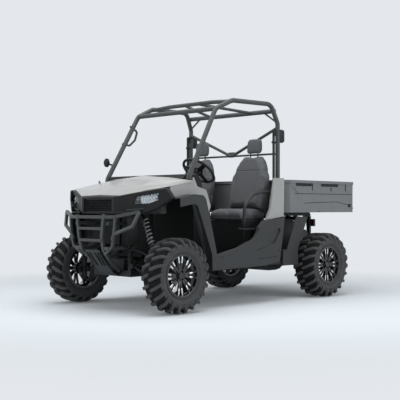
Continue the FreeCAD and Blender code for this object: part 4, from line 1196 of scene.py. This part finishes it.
@dataclass
class CoilOvers:
    """Four coil-over shocks: a pale spring round a dark damper, with round collars and eyes.

    The places of the eyes are millimetres; `span` is how far the spring keeps from each eye, and `eye` the
    radius and the half length of an eye, in metres.
    """

    top_x: float = 310.0
    foot: Pair = (444.98, 537.7)
    tops: tuple[Pair, ...] = ((-1091.0, 860.0), (1009.0, 815.0))
    collar: float = 0.034
    spring: float = 0.0275
    wire: float = 0.0052
    turns: int = 7
    span: Pair = (0.040, 0.052)
    eye: Pair = (0.016, 0.015)

    def damper(self, length: float) -> Mesh:
        """Makes the damper with its collars, along Z from its top eye.

        Args:
            length: Distance between its eyes.

        Returns:
            The damper.
        """
        mesh = bmesh.new()
        for start, end, radius in (
            (0.012, 0.030, 0.024),
            (0.030, 0.040, self.collar),
            (0.040, length - 0.120, 0.009),
            (length - 0.130, length - 0.040, 0.021),
            (length - 0.052, length - 0.042, self.collar),
            (length - 0.042, length - 0.010, 0.014),
        ):
            add_rod(mesh, Vector((0, 0, start)), Vector((0, 0, end)), radius)
        return mesh

    def coil(self, length: float) -> Mesh:
        """Winds the spring, along Z between the collars.

        Args:
            length: Distance between the damper's eyes.

        Returns:
            The spring.
        """
        mesh = bmesh.new()
        ends = (self.span[0] + self.wire, length - self.span[1] - self.wire)
        add_sweep(mesh, self.spring, self.wire, 10, self.turns * 24, self.turns, ends)
        return mesh

    def build(self) -> None:
        """Makes the four dampers and their springs."""
        dampers, springs = bmesh.new(), bmesh.new()
        for y, top_z in self.tops:
            for side in (-1, 1):
                top = axle_frame(side * self.top_x, y, top_z)
                foot = axle_frame(side * self.foot[0], y, self.foot[1])
                run = foot - top
                turn = run.to_track_quat("Z", "Y").to_matrix().to_4x4()
                damper, coil = self.damper(run.length), self.coil(run.length)
                for made in (damper, coil):
                    bmesh.ops.transform(made, matrix=Matrix.Translation(top) @ turn, verts=made.verts)
                radius, half = self.eye
                for eye in (top, foot):
                    add_rod(damper, eye - Vector((0, half, 0)), eye + Vector((0, half, 0)), radius)
                absorb(dampers, damper)
                absorb(springs, coil)
        finished("dampers", dampers, DAMPER_BODY, "chassis", ("coil_overs",), 40)
        finished("springs", springs, SPRING_STEEL, "chassis", (), 60)


@dataclass
class Seat:
    """A bucket seat: a rolled cushion, a backrest with sewn channels and a headrest on two stems.

    Each ring is its station, its half width, its low side and its high side in millimetres. The bolsters
    stand out by `bolster`, or a share of it on the cushion, and on the backrest they fade out towards
    `bolster_end`. The yoke's height, the seat's floor, the caps on how far the cloth may move, and a seam's
    half width and depth are metres.
    """

    centre: float = 370.0
    voxel: float = 0.007
    tautness: int = 14
    bolster: float = 30.0
    cushion_share: float = -0.4
    bolster_end: float = 1440.0
    bolster_fade: float = 240.0
    yoke: float = 1.292
    seat_floor: float = 0.8005
    blow_frames: int = 20
    cap: float = 0.022
    rest_cap: float = 0.014
    seam_wide: float = 0.0045
    seam_deep: float = 0.0042
    cushion_rings: tuple[Quad, ...] = (
        (-90, 200, 818, 866),
        (-72, 207, 808, 884),
        (-30, 208, 806, 889),
        (120, 206, 806, 884),
        (292, 200, 808, 878),
    )
    back_rings: tuple[Quad, ...] = (
        (912, 212, 206, 296),
        (980, 228, 217, 310),
        (1120, 238, 245, 333),
        (1230, 234, 269, 349),
        (1330, 200, 292, 360),
        (1395, 166, 309, 367),
        (1444, 120, 322, 372),
    )
    rest_rings: tuple[Quad, ...] = (
        (1470, 84, 332, 372),
        (1500, 96, 334, 380),
        (1590, 91, 344, 384),
        (1616, 72, 354, 380),
    )

    def ring(self, mesh: Mesh, sizes: Triple, place: Matrix, push: float) -> None:
        """Adds one rounded cross-section.

        Args:
            mesh: The bmesh that takes it.
            sizes: Half its width, its low side and its high side.
            place: Where it stands.
            push: How far its bolsters stand out of its low side, or of its high side where negative.
        """
        half, low, high = sizes
        for corner in bmesh.ops.create_circle(mesh, segments=36, radius=1.0)["verts"]:
            across, up = corner.co.x, corner.co.y
            across = math.copysign(abs(across) ** 0.45, across)
            up = math.copysign(abs(up) ** 0.55, up)
            out = abs(push) * abs(across) ** 3 if up * push < 0 else 0.0
            middle = (low + high) / 2 + (high - low) / 2 * up
            corner.co = place @ Vector((half * across, middle - math.copysign(out, push), 0))

    def loft(self, rings: Iterable[Quad], lying: bool) -> Mesh:
        """Joins cross-sections to a closed form.

        Args:
            rings: Station, half width, low side and high side of each, in millimetres.
            lying: Whether the stations run backwards, as on the cushion, or upwards.

        Returns:
            The closed form.
        """
        mesh = bmesh.new()
        for station, half, low, high in rings:
            if lying:
                way = Matrix(((1, 0, 0, self.centre), (0, 0, 1, station - 80), (0, 1, 0, 0), (0, 0, 0, 1)))
            else:
                way = Matrix(((1, 0, 0, self.centre), (0, 1, 0, -80), (0, 0, 1, station), (0, 0, 0, 1)))
            fade = min(max((self.bolster_end - station) / self.bolster_fade, 0.0), 1.0)
            push = self.bolster * (self.cushion_share if lying else fade)
            self.ring(mesh, (half, low, high), Matrix.Scale(MM, 4) @ way, push)
        bmesh.ops.bridge_loops(mesh, edges=mesh.edges)
        bmesh.ops.holes_fill(mesh, edges=mesh.edges, sides=0)
        bmesh.ops.recalc_face_normals(mesh, faces=mesh.faces)
        return mesh

    def blow(self, piece: Piece, cap: float) -> None:
        """Runs the cloth under pressure, and then holds every point near where it began.

        Args:
            piece: The evenly meshed form.
            cap: The furthest that a point may move, in metres.
        """
        rest = [corner.co.copy() for corner in piece.data.vertices]
        stuffing = piece.modifiers.new("stuffing", "CLOTH")
        cloth = stuffing.settings
        cloth.quality = 4
        cloth.use_pressure = True
        cloth.uniform_pressure_force = 4.0
        cloth.tension_stiffness = cloth.compression_stiffness = 25.0
        cloth.bending_stiffness = 4.0
        cloth.shrink_min = -0.02
        cloth.effector_weights.gravity = 0.0
        stuffing.collision_settings.use_collision = False
        scene = bpy.context.scene
        for number in range(1, self.blow_frames + 1):
            scene.frame_set(number)
        blown = self.baked(piece)
        piece.modifiers.clear()
        scene.frame_set(1)
        old, piece.data = piece.data, blown
        bpy.data.meshes.remove(old)
        for corner, start in zip(piece.data.vertices, rest):
            move = corner.co - start
            if move.length > cap:
                corner.co = start + move.normalized() * cap

    def swell(self, mesh: Mesh, cap: float) -> Mesh:
        """Blows a form up as stuffed cloth.

        Args:
            mesh: The closed form before it is stuffed.
            cap: The furthest that a point may move, in metres.

        Returns:
            The swollen form.
        """
        piece = link_mesh("pad_form", mesh)
        remesh = piece.modifiers.new("even", "REMESH")
        remesh.mode, remesh.voxel_size = "VOXEL", self.voxel
        plain = self.baked(piece)
        piece.modifiers.clear()
        old, piece.data = piece.data, plain
        bpy.data.meshes.remove(old)
        self.blow(piece, cap)
        done = bmesh.new()
        done.from_mesh(piece.data)
        bpy.data.objects.remove(piece)
        for _ in range(self.tautness):
            bmesh.ops.smooth_vert(
                done, verts=done.verts, factor=0.5, use_axis_x=True, use_axis_y=True, use_axis_z=True
            )
        return done

    def baked(self, piece: Piece) -> bpy.types.Mesh:
        """The mesh that a piece's modifiers give."""
        graph = bpy.context.evaluated_depsgraph_get()
        return bpy.data.meshes.new_from_object(piece.evaluated_get(graph), depsgraph=graph)

    def groove(self, mesh: Mesh, gap: Callable[[Vector], float]) -> None:
        """Sinks a sewn seam.

        Args:
            mesh: The swollen form.
            gap: Distance of a point from the seam in metres.
        """
        mesh.normal_update()
        moves = []
        for corner in mesh.verts:
            off = gap(corner.co)
            if off < 3 * self.seam_wide:
                sink = self.seam_deep * math.exp(-((off / self.seam_wide) ** 2))
                moves.append((corner, corner.normal * sink))
        for corner, move in moves:
            corner.co -= move

    def sewn_back(self, mesh: Mesh) -> None:
        """Sews the yoke across the backrest, its two long channels and the welt round its side.

        Args:
            mesh: The swollen backrest.
        """
        centre, yoke = self.centre * MM, self.yoke

        def yoke_gap(spot: Vector) -> float:
            """How far a point is from the yoke's seam."""
            return abs(spot.z - yoke) if abs(spot.x - centre) < 0.150 and spot.y < 0.245 else 1.0

        def channel_gap(spot: Vector) -> float:
            """How far a point is from the nearer channel."""
            reach = 0.128 + 0.022 * (yoke - spot.z) / 0.36
            return abs(abs(spot.x - centre) - reach) if spot.z < yoke and spot.y < 0.235 else 1.0

        def welt_gap(spot: Vector) -> float:
            """How far a point is from the welt, which leans with the backrest."""
            return abs(spot.y - (0.186 + 0.138 * (spot.z - 0.92)))

        for gap in (yoke_gap, channel_gap, welt_gap):
            self.groove(mesh, gap)

    def sewn_cushion(self, mesh: Mesh) -> None:
        """Sews the cushion's two bolster seams and the seam under its front roll.

        Args:
            mesh: The swollen cushion.
        """
        centre = self.centre * MM

        def bolster_gap(spot: Vector) -> float:
            """How far a point is from the nearer bolster's seam."""
            return abs(abs(spot.x - centre) - 0.135) if spot.z > 0.86 else 1.0

        def front_gap(spot: Vector) -> float:
            """How far a point is from the front roll's seam."""
            return abs(spot.z - 0.832)

        for gap in (bolster_gap, front_gap):
            self.groove(mesh, gap)

    def build(self) -> None:
        """Makes both seats, each in its covers."""
        cushion = self.swell(self.loft(self.cushion_rings, True), self.cap)
        back = self.swell(self.loft(self.back_rings, False), self.cap)
        rest = self.swell(self.loft(self.rest_rings, False), self.rest_cap)
        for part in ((cushion, back, rest)):
            bmesh.ops.subdivide_edges(part, edges=part.edges, cuts=1, smooth=0.5, use_grid_fill=True)
        self.sewn_cushion(cushion)
        self.sewn_back(back)
        self.groove(rest, lambda spot: abs(spot.y - 0.300 - 0.06 * (spot.z - 1.54)))
        for corner in cushion.verts:
            corner.co.z = max(corner.co.z, self.seat_floor)
        for name, part, node, fill in (
            ("cushion", cushion, "seat_cushions", 0.75),
            ("backrest", back, "seat_backs", 0.75),
            ("headrest", rest, "seat_backs", 0.85),
        ):
            other = part.copy()
            bmesh.ops.translate(other, verts=other.verts, vec=(-2 * self.centre * MM, 0, 0))
            for side, made in (("left", part), ("right", other)):
                nodes = (node,) if name != "headrest" else ()
                piece = finished(f"{name}_{side}", made, SEAT_VINYL, "chassis", nodes, 180.0)
        stems = bmesh.new()
        for seat in (-1, 1):
            for x in (-48, 48):
                low, high = (axle_frame(seat * self.centre + x, y, z) for y, z in ((350, 1400), (356, 1500)))
                add_rod(stems, low, high, 0.0065)
        finished("headrest_stems", stems, DAMPER_BODY, "chassis")


@dataclass
class Belts:
    """The retractors behind the pillars, the straps down to the seat base, and the buckles between the seats.

    Each fitting is its two ends in millimetres, from the retractor down to the buckle, and the width of its
    softened edges in metres.
    """

    strap: tuple[Pair, ...] = ((604.5, 356), (607.5, 356), (607.5, 394), (604.5, 394))
    seat_top: float = 801.0
    strap_length: float = 0.880
    fittings: tuple[tuple[Triple, Triple, float], ...] = (
        ((590, 422, 1570), (640, 518, 1703), 0.022),
        ((601, 372, 1632), (617, 440, 1692), 0.004),
        ((598, 348, 1560), (613, 402, 1580), 0.004),
        ((598, 352, 1040), (613, 398, 1072), 0.004),
        ((138, 268, 801), (150, 298, 905), 0.003),
        ((132, 262, 905), (153, 304, 958), 0.004),
    )
    button: tuple[Triple, ...] = ((137, 268, 956), (148, 298, 960))

    def build(self) -> None:
        """Makes the belts of both seats."""
        webbing, hard, buttons = bmesh.new(), bmesh.new(), bmesh.new()
        for side in (-1, 1):
            corners = [axle_frame(side * x, y, self.seat_top) for x, y in self.strap]
            add_slab(webbing, corners, Vector((0, 0, self.strap_length)), 0.0008)
            for near, far, edge in self.fittings:
                add_side_box(hard, side, near, far, edge)
            add_side_box(buttons, side, *self.button, 0.001)
        finished("belt_webbing", webbing, BELT_WEBBING, "chassis", ("seat_belts",))
        finished("belt_fittings", hard, SATIN_BLACK_AND_SHADE, "chassis")
        finished("buckle_buttons", buttons, RED_LENS, "chassis")


@dataclass
class SteeringWheel:
    """A three-spoke wheel with a padded grip, satin inserts and a plain cap, on its tilted column."""

    hub: Triple = (370, -450, 1270)
    grip: float = 0.158
    thick: float = 0.0128
    tilt: float = 40.0
    spokes: tuple[float, ...] = (-150.0, -30.0, 90.0)

    def placed(self, mesh: Mesh) -> Mesh:
        """Tilts a part that was made round Z, and carries it to the hub.

        Args:
            mesh: The part.

        Returns:
            The same bmesh, in its place.
        """
        turn = Matrix.Rotation(-math.radians(self.tilt), 4, "X")
        bmesh.ops.transform(mesh, matrix=Matrix.Translation(axle_frame(*self.hub)) @ turn, verts=mesh.verts)
        return mesh

    def build(self) -> None:
        """Makes the grip, the spokes and the cap."""
        mesh, bright = bmesh.new(), bmesh.new()
        add_sweep(mesh, self.grip, self.thick, 16, 72)
        for start, end, radius in ((-0.036, -0.004, 0.034), (-0.006, 0.006, 0.045), (0.006, 0.010, 0.040)):
            add_rod(mesh, Vector((0, 0, start)), Vector((0, 0, end)), radius, 40)
        for angle in self.spokes:
            turn = Matrix.Rotation(math.radians(angle), 3, "Z")
            for made, low, high, wide, back, deep in (
                (mesh, 0.036, self.grip, (0.026, 0.019), -0.014, 0.010),
                (bright, 0.062, 0.140, (0.016, 0.011), -0.0045, 0.003),
            ):
                shape = [(low, -wide[0]), (low, wide[0]), (high, wide[1]), (high, -wide[1])]
                corners = [turn @ Vector((out, across, back)) for out, across in shape]
                add_slab(made, corners, Vector((0, 0, deep)), 0.0012)
        made = self.placed(mesh)
        finished("wheel_grip", made, SATIN_BLACK_AND_SHADE, "steering_wheel", ("steering_wheel",), 40)
        finished("wheel_inserts", self.placed(bright), MACHINED_ALLOY, "steering_wheel")


@dataclass
class Nose:
    """The honeycomb grille and the two headlamps with their faceted reflectors.

    Lengths are millimetres from the middle of the wheelbase, on the left side. `band` says where the band
    that holds the lamp starts and how far out it runs. `band_front` and `band_rear` say how far its two
    faces lie ahead of `band_base`, and how much of that they lose over the run.
    """

    half: float = 199.5
    low: float = 880.5
    high: float = 999.5
    front: float = -1359.5
    cell: float = 26.0
    rim: float = 9.0
    band: Pair = (330.0, 298.0)
    band_base: float = -1050.0
    band_front: Pair = (254.0, 139.0)
    band_rear: Pair = (221.0, 154.0)
    lamp: tuple[Pair, ...] = ((390, 948), (415, 1018), (600, 1050), (622, 990), (560, 958))
    facet_start: float = 446.0
    facet_step: float = 24.0
    facets: tuple[int, int] = (7, 3)
    bulbs: tuple[Pair, ...] = ((428, 985), (428, 1010))
    # Dark plates that paint the shade of the recess beside the lamp and of the brow under the hood's edge
    shade_plates: tuple[tuple[Pair, ...], ...] = (
        ((334, 928), (386, 944), (411, 1022), (334, 1008)),
        ((334, 1015), (598, 1058), (598, 1068), (334, 1027)),
    )
    ridge: tuple[Pair, ...] = ((334, 884), (562, 902), (612, 936), (604, 950), (556, 924), (334, 904))

    def grille(self) -> Mesh:
        """Makes a frame filled with six-sided cells.

        Returns:
            The grille.
        """
        mesh = bmesh.new()
        rim = self.rim
        for x0, x1, z0, z1 in (
            (-self.half, self.half, self.low, self.low + rim),
            (-self.half, self.half, self.high - rim, self.high),
            (-self.half, -self.half + rim, self.low, self.high),
            (self.half - rim, self.half, self.low, self.high),
        ):
            add_box(mesh, axle_frame(x0, self.front, z0), axle_frame(x1, self.front + 11, z1), 0.0015)
        rise = self.cell * 0.866
        rows = int((self.high - self.low - 2 * rim) / rise)
        for row in range(rows + 1):
            z = self.low + rim + (row + 0.1) * rise
            shift = self.cell / 2 if row % 2 else 0.0
            for column in range(-8, 9):
                x = column * self.cell + shift
                if abs(x) > self.half - 8 or z > self.high - 6:
                    continue
                self.add_cell(mesh, x, z)
        return mesh

    def add_cell(self, mesh: Mesh, x: float, z: float) -> None:
        """Adds one cell's six walls.

        Args:
            mesh: The bmesh that takes them.
            x: The cell's middle, across.
            z: The cell's middle, up.
        """
        place = Matrix.Translation(axle_frame(x, self.front + 2, z)) @ Matrix.Rotation(math.pi / 2, 4, "X")
        place = place @ Matrix.Rotation(math.pi / 6, 4, "Z")
        radius = self.cell * MM / 1.732
        outer = bmesh.ops.create_circle(mesh, segments=6, radius=radius, matrix=place)["verts"]
        inner = bmesh.ops.create_circle(mesh, segments=6, radius=self.cell * MM / 2.25, matrix=place)["verts"]
        faces = bmesh.ops.bridge_loops(mesh, edges=edges_of((*outer, *inner)))["faces"]
        made = bmesh.ops.extrude_face_region(mesh, geom=faces, use_keep_orig=True)["geom"]
        moved = moved_corners(made)
        bmesh.ops.translate(mesh, verts=moved, vec=(0, 0.007, 0))
        touched = {face for corner in (*outer, *inner, *moved) for face in corner.link_faces}
        bmesh.ops.recalc_face_normals(mesh, faces=list(touched))

    def lamp_point(self, x: float, z: float, back: float) -> Vector:
        """Finds a point of the band that the lamp sits in.

        Args:
            x: How far out it is.
            z: How high it is.
            back: How deep it lies, from nought at the band's front to one at its rear.

        Returns:
            The point.
        """
        share = (x - self.band[0]) / self.band[1]
        front, rear = (lead - loss * share for lead, loss in (self.band_front, self.band_rear))
        return axle_frame(x, self.band_base - (1 - back) * front - back * rear, z)

    def lamps(self) -> tuple[Mesh, Mesh, Mesh]:
        """Makes the left lamp.

        Returns:
            Its lens, its reflector and its dark bowl.
        """
        lens, bright, bowl = bmesh.new(), bmesh.new(), bmesh.new()
        front = [self.lamp_point(x, z, 0.04) for x, z in self.lamp]
        run = self.lamp_point(500, 1000, 0.10) - self.lamp_point(500, 1000, 0.04)
        add_slab(lens, front, run, 0.0012)
        rear = [self.lamp_point(x, z, 0.80) for x, z in self.lamp]
        run = self.lamp_point(500, 1000, 0.98) - self.lamp_point(500, 1000, 0.80)
        add_slab(bowl, rear, run)
        columns, rows = self.facets
        for column in range(columns):
            x = self.facet_start + column * self.facet_step
            low = 954 + max(0.0, x - 560) * 0.5
            high = 1021 + (x - self.facet_start) * 0.17
            for row in range(rows):
                z = low + (high - low) * (row + 0.5) / rows
                tall = (high - low) / rows * MM
                place = Matrix.Translation(self.lamp_point(x, z, 0.45))
                place = place @ Matrix.Rotation(math.radians(25), 4, "Z")
                place = place @ Matrix.Rotation(math.pi / 2, 4, "X")
                place = place @ Matrix.Diagonal((0.026, tall * 1.04, 0.014, 1.0))
                place = place @ Matrix.Rotation(math.pi / 4, 4, "Z")
                bmesh.ops.create_cone(
                    bright, cap_ends=True, segments=4, radius1=0.7071, radius2=0.12, depth=1.0, matrix=place
                )
        for x, z in self.bulbs:
            place = Matrix.Translation(self.lamp_point(x, z, 0.6)) @ Matrix.Rotation(math.pi / 2, 4, "X")
            bmesh.ops.create_cone(
                bowl, cap_ends=True, segments=20, radius1=0.009, radius2=0.012, depth=0.010, matrix=place
            )
        return lens, bright, bowl

    def fascia_trim(self) -> tuple[Mesh, Mesh]:
        """Makes the left side's dark plates that paint the shade beside and over the lamp, and the ridge that
        runs under it.

        Returns:
            The insets and the ridge.
        """
        shade_plates, ridge = bmesh.new(), bmesh.new()
        out = Vector((0.4227, -0.9063, 0))
        for mesh, deep, edge, outlines in (
            (shade_plates, 0.0015, 0.0, self.shade_plates),
            (ridge, 0.014, 0.005, (self.ridge,)),
        ):
            for outline in outlines:
                corners = [self.lamp_point(x, z, 0.0) - Vector((0, 0.006, 0)) for x, z in outline]
                add_slab(mesh, corners, out * deep, edge)
        return shade_plates, ridge

    def build(self) -> None:
        """Makes the grille and both lamps."""
        shade_plates, ridge = self.fascia_trim()
        # The satin black plates on the fascia are painted shade
        trims = (("fascia_insets", shade_plates, SATIN_BLACK_AND_SHADE), ("fascia_ridges", ridge, DARK_PANEL))
        for name, mesh, finish in trims:
            absorb(mesh, mirrored_copy(mesh))
            finished(name, mesh, finish, "chassis")
        finished("grille_mesh", self.grille(), SATIN_BLACK_AND_SHADE, "chassis", ("grille",))
        lens, bright, bowl = self.lamps()
        for name, mesh, finish, nodes in (
            ("lamp_reflectors", bright, LAMP_SILVER, ()),
            ("lamp_bowls", bowl, SATIN_BLACK_AND_SHADE, ()),
            ("lamp_lenses", lens, CLEAR_LENS, ("headlamps",)),
        ):
            absorb(mesh, mirrored_copy(mesh))
            finished(name, mesh, finish, "chassis", nodes)


@dataclass
class Liners:
    """Dark sheets that paint the shade behind the panels: beside the radiator, inside the rear fenders and in
    the bed's slots.

    Each is its two ends in millimetres on the left side.
    """

    sheets: tuple[tuple[Triple, Triple], ...] = (
        ((160, -1232, 560), (292, -1226, 960)),
        ((292, -1232, 600), (402, -1226, 960)),
        ((398, -1362, 600), (402, -1226, 872)),
        ((398, 480, 400), (402, 944, 800)),
    )
    slot_shades: tuple[tuple[Triple, Triple], ...] = (
        ((678.2, 627, 1142), (680.5, 889, 1169)),
        ((678.2, 1047, 1142), (680.5, 1350, 1169)),
    )

    def build(self) -> None:
        """Makes the sheets of both sides."""
        sheets, slots = bmesh.new(), bmesh.new()
        for side in (-1, 1):
            for near, far in self.sheets:
                add_side_box(sheets, side, near, far, 0.001)
            for near, far in self.slot_shades:
                add_side_box(slots, side, near, far)
        # Both sets of sheets are painted shade: dark stand-ins for what lies in shadow behind the panels
        finished("painted_shade_sheets", sheets, BLACK_PANEL_AND_SHADE, "chassis")
        finished("bed_slot_backs", slots, SATIN_BLACK_AND_SHADE, "cargo_bed")


@dataclass
class Trim:
    """Fine parts on the panels: bolts, dark lines that paint the shade of moulded crease lines and ribs, and
    the tube along the seat base.

    Places are millimetres; those on a skin are (back, up) on the left side. A bolt's flange is its radius in
    metres.
    """

    flange: float = 0.008
    bed_skin: float = 689.0
    rocker_skin: float = 729.0
    rocker_bolts: tuple[Pair, ...] = ((-620, 470), (-505, 466), (300, 500))
    bed_bolts: tuple[Pair, ...] = ((500, 850), (1010, 880))
    bed_lines: tuple[tuple[Pair, ...], ...] = (
        ((606, 1060), (1600, 1060)),
        ((545, 1138), (668, 1062)),
        ((764, 964), (1325, 980), (1485, 953), (1600, 953)),
    )
    rocker_lines: tuple[tuple[Pair, ...], ...] = (((-28, 513), (135, 550)), ((4, 428), (291, 445)))
    # Dark strips that paint the shade beside the bed's ribs and slots
    bed_rib_shade: tuple[tuple[Pair, Pair], ...] = (
        ((1215, 1095), (1228, 1130)),
        ((1530, 926), (1578, 960)),
        ((893, 1096), (899, 1168)),
        ((1478, 1096), (1485, 1168)),
    )
    rail: tuple[Triple, ...] = (
        (590, -130, 720),
        (640, -130, 716),
        (655, 0, 716),
        (655, 180, 728),
        (592, 240, 735),
    )

    def add_crease(self, mesh: Mesh, side: int, skin: float, points: tuple[Pair, ...]) -> None:
        """Adds a thin dark line that stands for a moulded crease's shade.

        Args:
            mesh: The bmesh that takes it.
            side: One for the left side, minus one for the right.
            skin: How far out the panel's skin lies.
            points: The crease's ends and corners on the skin.
        """
        for (y0, z0), (y1, z1) in zip(points, points[1:]):
            corners = [(y0, z0), (y1, z1), (y1, z1 + 6), (y0, z0 + 6)]
            add_slab(mesh, [axle_frame(side * skin, y, z) for y, z in corners], Vector((side * 0.0014, 0, 0)))

    def add_bolt(self, mesh: Mesh, spot: Vector, way: Vector) -> None:
        """Adds a flanged bolt head, which looks the given way, on a surface."""
        add_rod(mesh, spot, spot + way * 0.0022, self.flange, 20)
        add_rod(mesh, spot, spot + way * 0.0045, self.flange * 0.55, 6)

    def build(self) -> None:
        """Makes the trim of both sides."""
        bolts, bed, bars = bmesh.new(), bmesh.new(), bmesh.new()
        lines, crease_shade = bmesh.new(), bmesh.new()
        for side in (-1, 1):
            out = Vector((side, 0, 0))
            for y, z in self.rocker_bolts:
                self.add_bolt(bolts, axle_frame(side * (self.rocker_skin + 1), y, z), out)
            for y, z in self.bed_bolts:
                self.add_bolt(bed, axle_frame(side * (self.bed_skin + 1), y, z), out)
            for points in self.bed_lines:
                self.add_crease(lines, side, self.bed_skin, points)
            for points in self.rocker_lines:
                self.add_crease(crease_shade, side, self.rocker_skin, points)
            for (front, low), (back, high) in self.bed_rib_shade:
                add_side_box(lines, side, (688, front, low), (693, back, high), 0.001)
            route = bent_route([axle_frame(side * x, y, z) for x, y, z in self.rail], 0.035)
            add_tube(bars, route, 0.006, 12)
        finished("panel_bolts", bolts, SATIN_BLACK_AND_SHADE, "chassis")
        finished("bed_bolts", bed, SATIN_BLACK_AND_SHADE, "cargo_bed")
        # The crease lines and rib strips are painted shade in near-black plastic
        finished("bed_creases", lines, BLACK_PANEL_AND_SHADE, "cargo_bed")
        finished("rocker_creases", crease_shade, BLACK_PANEL_AND_SHADE, "chassis")
        finished("seat_base_rail", bars, BLACK_TUBE, "chassis")


PANELS = (
    Panel("hood", 0.006, 5.0),
    # The fascia takes the near-black satin in place of its slot's dark plastic: partly its own dark plastic,
    # partly painted shade of the nose
    Panel("fascia", 0.004, finish=SATIN_BLACK_AND_SHADE),
    Panel("front_flares", 0.004),
    Panel("front_side_panels", 0.004),
    Panel("quarter_panels", 0.005),
    Panel("rockers", 0.004),
    Panel("rear_fenders", 0.004),
    Panel("skid_plates", 0.003),
    Panel("dashboard", 0.006),
    Panel("cab_floor", 0.004),
    Panel("seat_base", 0.006),
    Panel("cargo_bed", 0.004, holed=True),
    Panel("tailgate", 0.004),
    Panel("front_bumper", 0.005),
    Panel("mirror", 0.004),
    Panel("tail_lamps", 0.004),
    Panel("suspension_arms", 0.003, 25.0),
    Panel("knuckles_rear", 0.003, 25.0),
)


def main() -> None:
    """Builds the studio, makes the pieces and dresses the nodes that stay."""
    logging.basicConfig(level=logging.INFO, format="%(name)s: %(message)s")
    Studio().build()
    dress_nodes()
    Wheels().build()
    Cage().build()
    CoilOvers().build()
    Seat().build()
    Belts().build()
    SteeringWheel().build()
    Nose().build()
    Liners().build()
    Trim().build()
    for panel in PANELS:
        panel.build()


if __name__ == "__main__":
    main()
